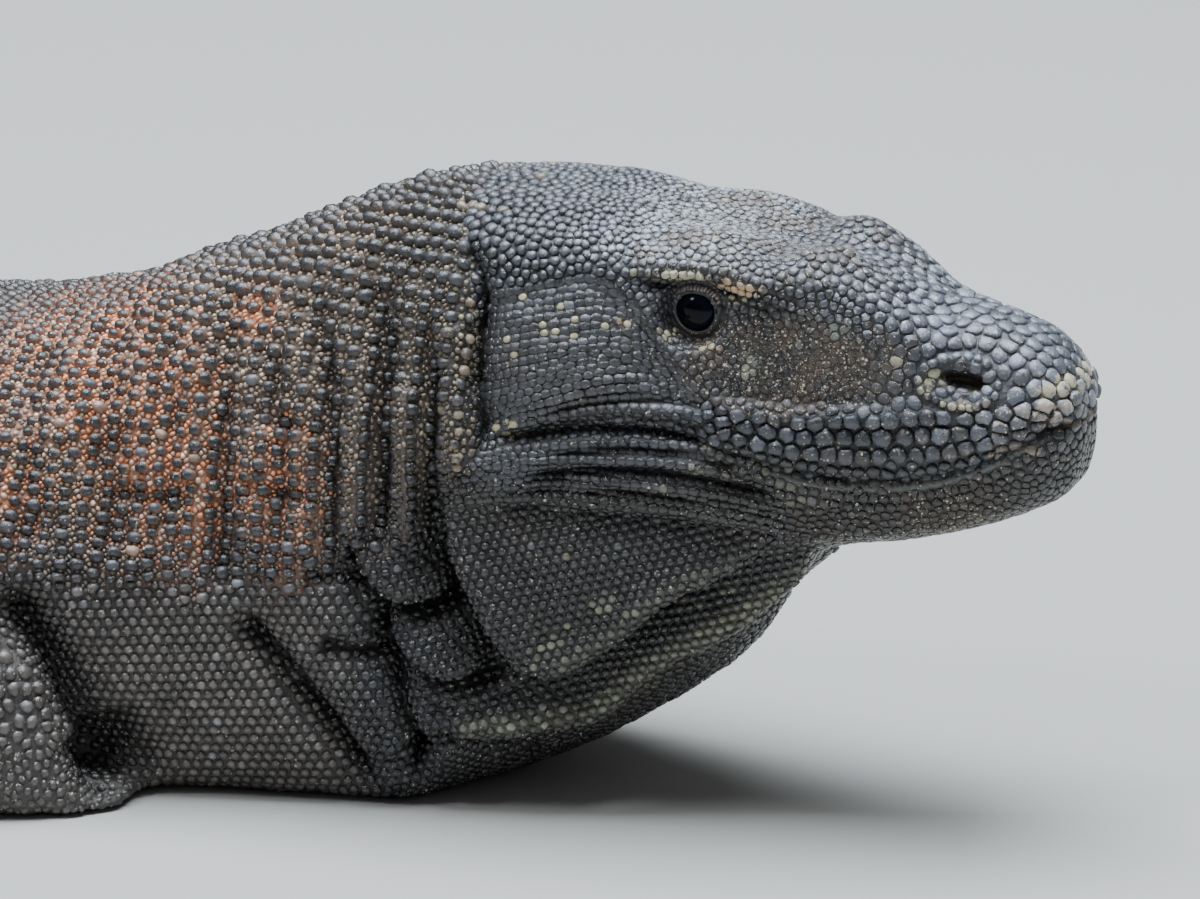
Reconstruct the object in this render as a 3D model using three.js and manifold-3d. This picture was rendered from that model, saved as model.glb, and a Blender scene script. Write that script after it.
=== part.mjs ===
// Komodo dragon (Varanus komodoensis): an adult male at rest on its belly and chest, head raised, life size.
// Units are millimetres. +Z is up, the head points towards +X, and the animal's left side is +Y.
// Places along the body are distances back from the snout tip, along a midline that bends in plan only.
import * as THREE from "three";
import { mergeVertices } from "three/addons/utils/BufferGeometryUtils.js";
import Module from "manifold-3d";

const wasm = await Module();
wasm.setup();

// ---------------------------------------------------------------- driving dimensions
const HEAD_LENGTH = 205; // snout tip to the back of the jaw muscles
const NECK_END = 350;
const TRUNK_END = 1150; // at the vent
const TAIL_LENGTH = 1400;
const TAIL_END = TRUNK_END + TAIL_LENGTH;
const TAIL_PARTS = [
  ["tail_base", TRUNK_END, 1620],
  ["tail_middle", 1620, 2080],
  ["tail_end", 2080, TAIL_END],
];
const NECK_STEP = 29; // spacing of the cross-sections
const TRUNK_STEP = 80;
const ACROSS = 2; // points in each of the fourteen spans of a head, neck or trunk section
const TAIL_ACROSS = 1;
const GAP = 0.3; // clear space left between two sub-parts
const SINK = 2; // how far undersides reach below the ground before they are cut flat
const BIG = 4000; // larger than the animal, for cutting blocks

const COLOURS = {
  hide: { color: 0x3a3a38, roughness: 0.62, metalness: 0 },
  claw: { color: 0x1d1a17, roughness: 0.35, metalness: 0 },
  eye: { color: 0x0a0c12, roughness: 0.05, metalness: 0 },
};

// ---------------------------------------------------------------- curves
// A smooth curve through [place, value] pairs that never overshoots them.
function smoothCurve(pairs) {
  const places = pairs.map((p) => p[0]);
  const values = pairs.map((p) => p[1]);
  const last = places.length - 1;
  const slope = (i) => (values[i + 1] - values[i]) / (places[i + 1] - places[i]);
  const tangents = places.map((_, i) => {
    if (i === 0) return slope(0);
    if (i === last) return slope(last - 1);
    const before = slope(i - 1);
    const after = slope(i);
    return before * after <= 0 ? 0 : (2 * before * after) / (before + after);
  });
  return (place) => {
    const x = THREE.MathUtils.clamp(place, places[0], places[last]);
    let i = 0;
    while (i < last - 1 && x > places[i + 1]) i += 1;
    const width = places[i + 1] - places[i];
    const t = (x - places[i]) / width;
    const t2 = t * t;
    const t3 = t2 * t;
    return (
      values[i] * (2 * t3 - 3 * t2 + 1) +
      values[i + 1] * (3 * t2 - 2 * t3) +
      tangents[i] * width * (t3 - 2 * t2 + t) +
      tangents[i + 1] * width * (t3 - t2)
    );
  };
}

// The midline in plan, going tailwards: arcs of [length, degrees that they turn to the animal's right].
const BENDS = [
  [NECK_END, 0],
  [TRUNK_END - NECK_END, -13],
  [0.32 * TAIL_LENGTH, 24],
  [0.4 * TAIL_LENGTH, 38],
  [0.28 * TAIL_LENGTH, -46],
];
const AXIS_STEP = 5;
const axisPoints = [];
{
  const here = new THREE.Vector3(0, 0, 0);
  let heading = 0; // angle of the tailward direction from -X
  for (const [length, turn] of BENDS) {
    const steps = Math.round(length / AXIS_STEP);
    for (let i = 0; i < steps; i += 1) {
      axisPoints.push({ x: here.x, y: here.y, heading });
      heading += THREE.MathUtils.degToRad(turn) / steps;
      here.x -= AXIS_STEP * Math.cos(heading);
      here.y -= AXIS_STEP * Math.sin(heading);
    }
  }
  axisPoints.push({ x: here.x, y: here.y, heading });
}

// A point beside the midline: along is the distance back from the snout, left and up are offsets.
function bodyPoint(along, left, up) {
  const at = THREE.MathUtils.clamp(along / AXIS_STEP, 0, axisPoints.length - 1);
  const i = Math.min(Math.floor(at), axisPoints.length - 2);
  const t = at - i;
  const a = axisPoints[i];
  const b = axisPoints[i + 1];
  const heading = a.heading + (b.heading - a.heading) * t;
  return new THREE.Vector3(
    a.x + (b.x - a.x) * t - left * Math.sin(heading),
    a.y + (b.y - a.y) * t + left * Math.cos(heading),
    up,
  );
}

// ---------------------------------------------------------------- solids
function solidFrom(geometry) {
  const bare = geometry.clone();
  bare.deleteAttribute("normal");
  bare.deleteAttribute("uv");
  const merged = mergeVertices(bare, 1e-3);
  const triVerts = new Uint32Array(merged.index.array);
  return new wasm.Manifold(
    new wasm.Mesh({ numProp: 3, vertProperties: merged.attributes.position.array, triVerts }),
  );
}

function geometryFrom(solid) {
  const mesh = solid.getMesh();
  const geometry = new THREE.BufferGeometry();
  geometry.setAttribute("position", new THREE.BufferAttribute(mesh.vertProperties, 3));
  geometry.setIndex(new THREE.BufferAttribute(mesh.triVerts, 1));
  geometry.computeVertexNormals();
  return geometry;
}

// A closed solid from rings of equal numbers of points, with a fan over the first and the last ring.
function loft(rings) {
  const sides = rings[0].length;
  const points = rings.flat();
  const faces = [];
  for (let r = 0; r + 1 < rings.length; r += 1) {
    for (let k = 0; k < sides; k += 1) {
      const a = r * sides + k;
      const b = r * sides + ((k + 1) % sides);
      faces.push(a, b, a + sides, b, b + sides, a + sides);
    }
  }
  for (const [ring, flip] of [
    [0, false],
    [rings.length - 1, true],
  ]) {
    const centre = rings[ring]
      .reduce((sum, p) => sum.add(p), new THREE.Vector3())
      .divideScalar(sides);
    points.push(centre);
    for (let k = 0; k < sides; k += 1) {
      const a = ring * sides + k;
      const b = ring * sides + ((k + 1) % sides);
      faces.push(...(flip ? [a, b, points.length - 1] : [b, a, points.length - 1]));
    }
  }
  const geometry = new THREE.BufferGeometry().setFromPoints(points);
  geometry.setIndex(faces);
  const solid = solidFrom(geometry);
  if (solid.volume() > 0) return solid;
  for (let i = 0; i < faces.length; i += 3) [faces[i], faces[i + 1]] = [faces[i + 1], faces[i]];
  geometry.setIndex(faces);
  return solidFrom(geometry);
}

function joined(solids) {
  return solids.reduce((whole, next) => whole.add(next));
}

// Cuts away all that lies below the ground, which leaves small flats to rest on.
const belowGround = solidFrom(new THREE.BoxGeometry(2 * BIG, 2 * BIG, BIG).translate(0, 0, -BIG / 2));
function onGround(solid) {
  return solid.subtract(belowGround);
}

// An ellipsoid whose front end dips by lean degrees. detail is how many points go round it.
function ellipsoid(centre, radii, lean, detail) {
  const geometry = new THREE.SphereGeometry(1, detail, Math.round(detail * 0.7));
  geometry.scale(...radii);
  geometry.rotateY(THREE.MathUtils.degToRad(lean));
  geometry.translate(centre.x, centre.y, centre.z);
  return solidFrom(geometry);
}

// ---------------------------------------------------------------- the body's cross-sections
// Half of a section runs through eight points, from the middle of the back to the middle of the belly.
const POINT_NAMES = ["crown", "brow", "temple", "cheek", "lip", "jaw", "under", "keel"];

// Head sections: the place, then each point in that order as [half width, height], or a height on the midline.
const HEAD_SECTIONS = [
  [1.5, 158, [8, 156], [12, 151], [13, 146], [13, 142], [10, 135], [6, 132], 131],
  [6, 167, [14, 165], [19, 157], [21, 149], [21, 143], [18, 129], [11, 123], 121],
  [18, 177, [19, 172], [25.5, 163], [28, 151], [28, 142], [25, 125], [14, 116], 114],
  [36, 182.5, [22, 177.5], [29, 165], [32, 150], [32, 135], [28, 117], [16, 108.5], 107],
  [58, 188.5, [27, 185], [32, 167], [36, 148], [36, 130], [31, 110.5], [18, 102.5], 101],
  [82, 198, [34, 196], [36, 171], [41, 148], [42, 130], [38, 109], [23, 99], 95],
  [105, 201.5, [38.5, 200], [39, 176], [46, 149], [48, 134], [45.5, 111], [31, 86], 69],
  [130, 205.5, [41.5, 201.5], [42, 181], [52, 152], [55, 139], [53, 114], [40, 71], 44],
  [156, 209.5, [42, 202.5], [51, 184], [60, 158], [61, 139], [59, 113], [47, 58], 25],
  [182, 212.5, [42, 205.5], [55, 187], [65, 160], [66, 138], [64, 106], [55, 42], 10],
  [HEAD_LENGTH, 212.5, [42, 205.5], [57, 186], [66, 158], [67, 134], [67, 96], [62, 26], -1],
];

// Behind the head a section is a low oval pressed flat on the ground: its points as shares of width and height.
const OVAL = {
  brow: [0.4, 0.965],
  temple: [0.78, 0.81],
  cheek: [0.98, 0.53],
  lip: [1, 0.36],
  jaw: [0.96, 0.14],
  under: [0.78, 0],
};
// Neck, trunk and tail sections: [place, half width, height of the back].
const BODY_SECTIONS = [
  [232, 70, 210],
  [262, 74, 199.5],
  [300, 81, 178.5],
  [NECK_END, 98, 156.5],
  [400, 117, 146],
  [470, 133, 148],
  [620, 145, 166],
  [780, 152, 177],
  [930, 144, 170],
  [1040, 118, 152],
  [1100, 95, 138],
  [TRUNK_END, 76, 124],
  [1210, 62, 112],
  [1330, 50, 98],
  [1500, 39, 82],
  [1750, 27, 62],
  [2000, 18, 46],
  [2250, 11, 29],
  [2450, 6.2, 15.5],
  [TAIL_END, 3, 7],
];

function headPoints(values) {
  return values.map((value) => (Array.isArray(value) ? value : [0, value]));
}

function ovalPoints(half, back) {
  return POINT_NAMES.map((name) => {
    if (name === "crown") return [0, back];
    if (name === "keel") return [0, -SINK];
    const [across, high] = OVAL[name];
    return [across * half, name === "under" ? -SINK : high * back];
  });
}

// Each of the eight points as two smooth curves along the body.
const sections = [
  ...HEAD_SECTIONS.map(([at, ...values]) => ({ at, points: headPoints(values) })),
  ...BODY_SECTIONS.map(([at, half, back]) => ({ at, points: ovalPoints(half, back) })),
];
const pointCurves = POINT_NAMES.map((_, i) => ({
  half: smoothCurve(sections.map((s) => [s.at, s.points[i][0]])),
  high: smoothCurve(sections.map((s) => [s.at, s.points[i][1]])),
}));

// One ring round the body, with across points in each span. grow pushes it outwards.
function bodyRing(along, across, grow) {
  const half = pointCurves.map((c) => [c.half(along), c.high(along)]);
  const otherHalf = half.slice(1, -1).reverse();
  const outline = [
    ...half.map(([wide, high]) => new THREE.Vector3(-wide, high, 0)),
    ...otherHalf.map(([wide, high]) => new THREE.Vector3(wide, high, 0)),
  ];
  const curve = new THREE.CatmullRomCurve3(outline, true, "centripetal");
  const count = outline.length * across;
  return Array.from({ length: count }, (_, k) => {
    const at = curve.getPoint(k / count);
    const tangent = curve.getTangent(k / count);
    return bodyPoint(along, at.x + tangent.y * grow, at.y - tangent.x * grow);
  });
}

function bodySolid(from, to, step, across, grow = 0) {
  const steps = Math.max(2, Math.round((to - from) / step));
  const places = Array.from({ length: steps + 1 }, (_, i) => from + ((to - from) * i) / steps);
  return loft(places.map((along) => bodyRing(along, across, grow)));
}

// ---------------------------------------------------------------- head
const HEAD_RINGS = [1.5, 6, 14, 25, 38, 53, 68, 82, 94, 106, 119, 132, 147, 163, 182, HEAD_LENGTH];
const EYE = { along: 131, side: 29.5, up: 182, radius: 11, detail: 10 };
const EYE_OPENING = 7; // radius of the gap between the lids
const NOSTRIL = { along: 37, side: 30, up: 164, radii: [5.5, 4, 2.6], lean: 8 };
const EAR = { along: 198, side: 62, up: 172, radii: [3.2, 7, 19], lean: -6 }; // an upright slit

// The mouth line, and the line where the jaw meets the throat, seen from the side: [distance back, height].
const MOUTH_LINE = [
  [-20, 152],
  [4, 147.5],
  [17, 142],
  [33, 135],
  [50, 130],
  [67, 128.5],
  [87, 130.5],
  [106, 135],
  [126, 141],
  [160, 140],
  [225, 133],
];
const THROAT_LINE = [
  [70, 80],
  [80, 95],
  [92, 103],
  [108, 109],
  [126, 112.5],
  [156, 113],
  [190, 106],
  [225, 94],
];

// All that lies below a line seen from the side, as one block. lift moves the line up or down.
function below(line, lift) {
  const curve = new THREE.SplineCurve(line.map(([along, up]) => new THREE.Vector2(-along, up + lift)));
  const edge = curve.getPoints(line.length);
  const shape = new THREE.Shape([
    ...edge,
    new THREE.Vector2(edge.at(-1).x, -HEAD_LENGTH),
    new THREE.Vector2(edge[0].x, -HEAD_LENGTH),
  ]);
  const block = new THREE.ExtrudeGeometry(shape, { depth: 2 * HEAD_LENGTH, bevelEnabled: false });
  block.rotateX(Math.PI / 2);
  block.translate(0, HEAD_LENGTH, 0);
  return solidFrom(block);
}

const wholeHead = onGround(loft(HEAD_RINGS.map((along) => bodyRing(along, ACROSS, 0))));

function eyeball(side, grow = 0) {
  const centre = bodyPoint(EYE.along, side * EYE.side, EYE.up);
  return ellipsoid(centre, Array(3).fill(EYE.radius + grow), 0, EYE.detail);
}

function eyeOpening(side) {
  const centre = bodyPoint(EYE.along, side * EYE.side, EYE.up);
  const reach = 3 * EYE.radius;
  const opening = new THREE.CylinderGeometry(EYE_OPENING, EYE_OPENING, reach, EYE.detail);
  opening.translate(centre.x, centre.y + (side * reach) / 2, centre.z);
  return solidFrom(opening);
}

// A nostril or an ear: a hollow on one side of the head.
function hollow(kind, side) {
  return ellipsoid(bodyPoint(kind.along, side * kind.side, kind.up), kind.radii, kind.lean, 8);
}

function headSolid() {
  let solid = wholeHead.subtract(below(MOUTH_LINE, GAP / 2));
  for (const side of [-1, 1]) {
    solid = solid
      .subtract(eyeball(side, GAP))
      .subtract(eyeOpening(side))
      .subtract(hollow(NOSTRIL, side))
      .subtract(hollow(EAR, side));
  }
  return solid;
}

// ---------------------------------------------------------------- limbs
const LIMB_SIDES = 10;
const FINGER_SIDES = 6;
const CLAW_SIDES = 5;
const TUBE_RINGS = 4;

// A ring of points round a centre, in the plane of two unit vectors.
function ovalRing(centre, wide, halfWide, thick, halfThick, sides) {
  return Array.from({ length: sides }, (_, k) => {
    const angle = (2 * Math.PI * k) / sides;
    return centre
      .clone()
      .addScaledVector(wide, halfWide * Math.cos(angle))
      .addScaledVector(thick, halfThick * Math.sin(angle));
  });
}

// A tapering length of limb from a to b with rounded ends. Radii are [sideways, upwards] at each end.
function muscle(a, b, radiiA, radiiB, swell = 0, grow = 0) {
  const along = b.clone().sub(a);
  const length = along.length();
  along.normalize();
  const thick = new THREE.Vector3(0, 0, 1).addScaledVector(along, -along.z).normalize();
  const wide = new THREE.Vector3().crossVectors(thick, along);
  const cap = (t) => Math.sqrt(1 - t * t);
  const stops = [
    ...[-0.95, -0.6].map((t) => [t * Math.min(...radiiA), cap(t)]),
    ...[0.12, 0.55].map((t) => [t * length, 1]),
    ...[0.1, 0.65, 0.95].map((t) => [length + t * Math.min(...radiiB), cap(t)]),
  ];
  return loft(
    stops.map(([distance, round]) => {
      const t = THREE.MathUtils.clamp(distance / length, 0, 1);
      const bulge = (1 + swell * Math.sin(Math.PI * t)) * round;
      const halfWide = THREE.MathUtils.lerp(radiiA[0], radiiB[0], t) * bulge + grow;
      const halfThick = THREE.MathUtils.lerp(radiiA[1], radiiB[1], t) * bulge + grow;
      const outwards = Math.sign(distance - length / 2) * grow;
      const centre = a.clone().addScaledVector(along, distance + outwards);
      return ovalRing(centre, wide, halfWide, thick, halfThick, LIMB_SIDES);
    }),
  );
}

// A finger or claw: a tube through points that bends up and down only, with a radius at each point.
function bentTube(points, radii, sides, grow = 0) {
  const path = new THREE.CatmullRomCurve3(points, false, "centripetal");
  const radius = smoothCurve(radii.map((r, i) => [i / (radii.length - 1), r]));
  const level = points.at(-1).clone().sub(points[0]).setZ(0).normalize();
  const wide = new THREE.Vector3(0, 0, 1).cross(level);
  return loft(
    Array.from({ length: TUBE_RINGS }, (_, i) => {
      const t = i / (TUBE_RINGS - 1);
      const thick = path.getTangent(t).cross(wide).normalize();
      return ovalRing(path.getPoint(t), wide, radius(t) + grow, thick, radius(t) + grow, sides);
    }),
  );
}

// Digits go from the inner to the outer one, each as [degrees it spreads outwards, length without the claw].
const HAND = {
  palm: 50,
  halfWidth: 30,
  thickness: 13,
  fingerRadius: 8.8,
  claw: 28,
  digits: [
    [-44, 28],
    [-20, 41],
    [0, 49],
    [20, 49],
    [46, 34],
  ],
};
const FOOT = {
  palm: 76,
  halfWidth: 31,
  thickness: 14.5,
  fingerRadius: 9.4,
  claw: 30,
  digits: [
    [-34, 31],
    [-16, 50],
    [0, 66],
    [15, 80],
    [44, 46],
  ],
};
const HEEL_SHARE = [0.72, 1.25]; // the heel's width and thickness as shares of the knuckles'
const KNUCKLE_SETBACK = 0.3; // how far the outermost knuckles sit behind the middle one, as a share of the palm
const FINGER_ARCH = [
  // [share of the length, rise of the middle line, radius as a share of the finger's own]
  [0, 9, 1.12],
  [0.45, 7, 1],
  [0.8, 2, 1.04],
  [1, 0, 0.86],
];
const CLAW_CURVE = [
  // [share of the claw, rise, radius]
  [-0.07, 2.5, 5.4],
  [0.25, 3.6, 4.9],
  [0.66, 0.5, 3],
  [1, -6, 0.7],
];

function compass(angle) {
  return new THREE.Vector3(Math.cos(angle), Math.sin(angle), 0);
}

// One digit from its knuckle. Both solids lie along the ground in the direction way.
function digit(kind, knuckle, way, length) {
  const low = kind.fingerRadius * 0.85; // height of the finger's middle line at its tip
  const at = (distance, up) => knuckle.clone().addScaledVector(way, distance).setZ(up);
  const bones = FINGER_ARCH.map(([share, rise]) => at(share * length, low + rise));
  const boneRadii = FINGER_ARCH.map(([, , share]) => share * kind.fingerRadius);
  const hook = CLAW_CURVE.map(([share, rise]) => at(length + share * kind.claw, low + rise));
  const hookRadii = CLAW_CURVE.map(([, , radius]) => radius);
  return {
    finger: (grow) => bentTube(bones, boneRadii, FINGER_SIDES, grow),
    claw: bentTube(hook, hookRadii, CLAW_SIDES),
  };
}

// A flat foot. heel is where the leg meets it, and yaw is the way it points, outwards from straight ahead.
function footParts(kind, heel, yaw, side) {
  const ahead = compass(side * yaw);
  const outward = compass(side * (yaw + Math.PI / 2));
  const front = heel.clone().addScaledVector(ahead, kind.palm).setZ(kind.thickness - SINK / 2);
  const heelRadii = [kind.halfWidth * HEEL_SHARE[0], kind.thickness * HEEL_SHARE[1]];
  const palm = (grow) => muscle(heel, front, heelRadii, [kind.halfWidth, kind.thickness], 0, grow);
  const digits = kind.digits.map(([spread, length], i) => {
    const place = (i - 2) / 2; // -1 on the inner edge to 1 on the outer one
    const knuckle = front
      .clone()
      .addScaledVector(outward, place * (kind.halfWidth - kind.fingerRadius))
      .addScaledVector(ahead, -Math.abs(place) * kind.palm * KNUCKLE_SETBACK);
    return digit(kind, knuckle, compass(side * (yaw + THREE.MathUtils.degToRad(spread))), length);
  });
  return {
    whole: (grow) => joined([palm(grow), ...digits.map((d) => d.finger(grow))]),
    claws: digits.map((d) => d.claw),
  };
}

// Joints of each leg as [distance back, half width, height]. upper and lower are its two lengths, each with
// the radii of its two ends and a swell, and mass is the muscle that buries the top joint in the trunk.
const LEGS = {
  fore: {
    names: ["upper_arm", "forearm", "hand"],
    root: [408, 92, 68],
    hinge: [478, 212, 50],
    heel: [394, 262, 19],
    upper: { radii: [[42, 45], [33, 36]], swell: 0.1 },
    lower: { radii: [[32, 34], [19, 21]], swell: 0.12 },
    mass: { at: [386, 84, 38], radii: [100, 43, 47], lean: 48 },
    foot: HAND,
    yaw: 22,
    left: { back: -14, yaw: 8 },
  },
  hind: {
    names: ["thigh", "shin", "foot"],
    root: [1088, 62, 78],
    hinge: [975, 204, 76],
    heel: [1106, 250, 21],
    upper: { radii: [[55, 57], [38, 41]], swell: 0.1 },
    lower: { radii: [[36, 38], [21, 24]], swell: 0.14 },
    mass: { at: [1052, 78, 60], radii: [84, 44, 50], lean: -12 },
    foot: FOOT,
    yaw: 40,
    left: { back: 26, yaw: -10 },
  },
};
const HIDDEN_END = 0.15; // share of the lower length whose rounded end is buried in the upper one
const MASS_DETAIL = 10;

// The solids of one leg. A left leg is shifted a little, so that the two sides don't mirror each other exactly.
function legSolids(leg, side) {
  const shift = side > 0 ? leg.left : { back: 0, yaw: 0 };
  const place = ([along, half, up], back = 0) => bodyPoint(along + back, side * half, up);
  const root = place(leg.root);
  const hinge = place(leg.hinge, shift.back);
  const heel = place(leg.heel, shift.back);
  const start = hinge.clone().lerp(heel, HIDDEN_END);
  const upper = (grow) => {
    const massRadii = leg.mass.radii.map((r) => r + grow);
    return joined([
      muscle(root, hinge, ...leg.upper.radii, leg.upper.swell, grow),
      ellipsoid(place(leg.mass.at), massRadii, leg.mass.lean, MASS_DETAIL),
    ]);
  };
  const lower = (grow) => muscle(start, heel, ...leg.lower.radii, leg.lower.swell, grow);
  const foot = footParts(leg.foot, heel, THREE.MathUtils.degToRad(leg.yaw + shift.yaw), side);
  return {
    lengths: [
      upper(0).subtract(besideLegs),
      lower(0).subtract(upper(GAP)).subtract(besideLegs),
      foot.whole(0).subtract(lower(GAP)),
    ],
    claws: foot.claws.map((claw) => claw.subtract(foot.whole(GAP))),
  };
}

// ---------------------------------------------------------------- the finished animal
const SIDES = [
  [-1, "right"],
  [1, "left"],
];
const dragon = new THREE.Group();
const materials = Object.fromEntries(
  Object.entries(COLOURS).map(([name, look]) => [name, new THREE.MeshStandardMaterial(look)]),
);

function addPart(name, solid, look) {
  const mesh = new THREE.Mesh(geometryFrom(onGround(solid)), materials[look]);
  mesh.name = name;
  dragon.add(mesh);
}

// Head, jaw, throat, neck, trunk, tail and eyes
const jawAndThroat = wholeHead.intersect(below(MOUTH_LINE, -GAP / 2));
addPart("head", headSolid(), "hide");
addPart("lower_jaw", jawAndThroat.subtract(below(THROAT_LINE, GAP / 2)), "hide");
addPart("throat", jawAndThroat.intersect(below(THROAT_LINE, -GAP / 2)), "hide");
addPart("neck", bodySolid(HEAD_LENGTH + GAP, NECK_END, NECK_STEP, ACROSS), "hide");
addPart("trunk", bodySolid(NECK_END + GAP, TRUNK_END, TRUNK_STEP, ACROSS), "hide");
for (const [name, from, to] of TAIL_PARTS) {
  addPart(name, bodySolid(from + GAP, to, TRUNK_STEP, TAIL_ACROSS), "hide");
}
for (const [side, sideName] of SIDES) addPart(`eye_${sideName}`, eyeball(side), "eye");

// Legs, cut back from the neck, trunk and tail by the gap
const besideLegs = joined([
  bodySolid(HEAD_LENGTH, NECK_END, NECK_STEP, ACROSS, GAP),
  bodySolid(NECK_END, TRUNK_END, TRUNK_STEP, ACROSS, GAP),
  bodySolid(TRUNK_END, TAIL_PARTS[0][2], TRUNK_STEP, TAIL_ACROSS, GAP),
]);
for (const [side, sideName] of SIDES) {
  for (const [which, leg] of Object.entries(LEGS)) {
    const { lengths, claws } = legSolids(leg, side);
    lengths.forEach((solid, i) => addPart(`${leg.names[i]}_${sideName}`, solid, "hide"));
    claws.forEach((solid, i) => addPart(`claw_${which}_${sideName}_${i + 1}`, solid, "claw"));
  }
}

// The origin is the middle of the animal's footprint, on the ground.
const box = new THREE.Box3().setFromObject(dragon);
dragon.position.set(-(box.min.x + box.max.x) / 2, -(box.min.y + box.max.y) / 2, 0);

export default dragon;
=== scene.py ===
import math

import bpy
import numpy as np
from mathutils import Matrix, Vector, kdtree
from mathutils.bvhtree import BVHTree


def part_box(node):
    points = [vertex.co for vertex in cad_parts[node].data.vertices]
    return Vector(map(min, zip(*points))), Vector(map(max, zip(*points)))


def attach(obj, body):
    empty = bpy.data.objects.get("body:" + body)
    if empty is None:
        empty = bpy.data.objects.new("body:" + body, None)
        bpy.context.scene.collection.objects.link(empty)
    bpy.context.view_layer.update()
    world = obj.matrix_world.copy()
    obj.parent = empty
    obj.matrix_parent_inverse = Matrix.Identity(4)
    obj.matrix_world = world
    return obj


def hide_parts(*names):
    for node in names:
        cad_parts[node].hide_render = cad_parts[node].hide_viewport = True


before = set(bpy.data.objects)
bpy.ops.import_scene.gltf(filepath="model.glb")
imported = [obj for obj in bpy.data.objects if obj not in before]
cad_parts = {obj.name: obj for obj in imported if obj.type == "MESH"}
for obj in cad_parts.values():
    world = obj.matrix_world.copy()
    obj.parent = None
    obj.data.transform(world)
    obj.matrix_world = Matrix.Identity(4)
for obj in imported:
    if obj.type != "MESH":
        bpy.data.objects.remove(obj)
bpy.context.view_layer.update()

MM = 0.001
SEED = 7
chance = np.random.default_rng(SEED)

# ---------------------------------------------------------------- places on the animal
TAIL_END = 2550
STEP = 5  # between points of the midline
BENDS = [(350, 0), (800, -13), (450, 24), (560, 38), (390, -46)]  # length, degrees turned to the right
SNOUT_GAP = 1.5  # the head solid starts this far behind the snout's own tip
SIDES = {"right": -1, "left": 1}  # and which way each lies from the midline
PLACE_ROUNDS = 8  # steps in which body_places closes in on the nearest point of the midline
BEYOND_ENDS = 30  # how far past the ends of the midline a place may lie


def box_mm(node):
    low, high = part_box(node)
    return np.array(low) / MM, np.array(high) / MM


head_low, head_high = box_mm("head")
SNOUT = np.array([head_high[0] + SNOUT_GAP, (head_low[1] + head_high[1]) / 2])


def midline():
    """Points every STEP along the midline, as x, y and the angle of the tailward direction from -X."""
    rows = []
    x, y = SNOUT
    heading = 0.0
    for length, turn in BENDS:
        steps = round(length / STEP)
        for _ in range(steps):
            rows.append((x, y, heading))
            heading += math.radians(turn) / steps
            x -= STEP * math.cos(heading)
            y -= STEP * math.sin(heading)
    rows.append((x, y, heading))
    return np.array(rows)


AXIS = midline()
AXIS_ALONG = np.arange(len(AXIS)) * STEP


def axis_at(along):
    return [np.interp(along, AXIS_ALONG, AXIS[:, k]) for k in range(3)]


def body_directions(along):
    """Unit vectors to the tail and to the left, at each distance along the midline."""
    heading = axis_at(along)[2]
    flat = np.zeros_like(heading)
    tailward = np.stack([-np.cos(heading), -np.sin(heading), flat], -1)
    leftward = np.stack([-np.sin(heading), np.cos(heading), flat], -1)
    return tailward, leftward


def body_places(points):
    """The place (along, left, up) of each point."""
    along = np.interp(-points[:, 0], -AXIS[:, 0], AXIS_ALONG)
    for _ in range(PLACE_ROUNDS):
        x, y, heading = axis_at(along)
        offset = points[:, :2] - np.stack([x, y], -1)
        ahead = -offset[:, 0] * np.cos(heading) - offset[:, 1] * np.sin(heading)
        along = np.clip(along + ahead, -BEYOND_ENDS, TAIL_END + BEYOND_ENDS)
    x, y, heading = axis_at(along)
    offset = points[:, :2] - np.stack([x, y], -1)
    left = -offset[:, 0] * np.sin(heading) + offset[:, 1] * np.cos(heading)
    return np.stack([along, left, points[:, 2]], -1)


def body_points(places):
    """The reverse of body_places."""
    places = np.atleast_2d(np.asarray(places, float))
    x, y, heading = axis_at(places[:, 0])
    left = places[:, 1]
    return np.stack([x - left * np.sin(heading), y + left * np.cos(heading), places[:, 2]], -1)


def tail_way(points):
    return body_directions(body_places(points)[:, 0])[0]


# ---------------------------------------------------------------- small tools
def smoothstep(low, high, value):
    """0 at low, 1 at high, and smooth between. high may be the lower of the two."""
    t = np.clip((value - low) / (high - low), 0, 1)
    return t * t * (3 - 2 * t)


def unit(vectors):
    return vectors / np.maximum(np.linalg.norm(vectors, axis=-1, keepdims=True), 1e-9)


def mesh_arrays(mesh):
    """Points in millimetres and triangles of a Blender mesh."""
    points = np.empty(3 * len(mesh.vertices))
    mesh.vertices.foreach_get("co", points)
    mesh.calc_loop_triangles()
    faces = np.empty(3 * len(mesh.loop_triangles), np.int32)
    mesh.loop_triangles.foreach_get("vertices", faces)
    return points.reshape(-1, 3) / MM, faces.reshape(-1, 3)


def merged(points, faces):
    """The same triangles with points at one place made one."""
    keys, index = np.unique(np.round(points, 3), axis=0, return_inverse=True)
    return keys, index.reshape(-1)[faces]


def cad_mesh(name):
    return mesh_arrays(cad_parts[name].data)


def together(surfaces):
    """Several surfaces, each given as points and triangles, as one."""
    all_points, all_faces, count = [], [], 0
    for points, faces in surfaces:
        all_points.append(points)
        all_faces.append(faces + count)
        count += len(points)
    return np.concatenate(all_points), np.concatenate(all_faces)


def new_mesh(name, points, faces):
    mesh = bpy.data.meshes.new(name)
    mesh.vertices.add(len(points))
    mesh.vertices.foreach_set("co", (np.asarray(points) * MM).astype(np.float32).ravel())
    mesh.loops.add(faces.size)
    mesh.loops.foreach_set("vertex_index", faces.astype(np.int32).ravel())
    mesh.polygons.add(len(faces))
    mesh.polygons.foreach_set("loop_start", np.arange(0, faces.size, faces.shape[1], dtype=np.int32))
    mesh.polygons.foreach_set("use_smooth", np.ones(len(faces), bool))
    mesh.update()
    return mesh


def new_object(name, data):
    made = bpy.data.objects.new(name, data)
    bpy.context.scene.collection.objects.link(made)
    return made


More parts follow.
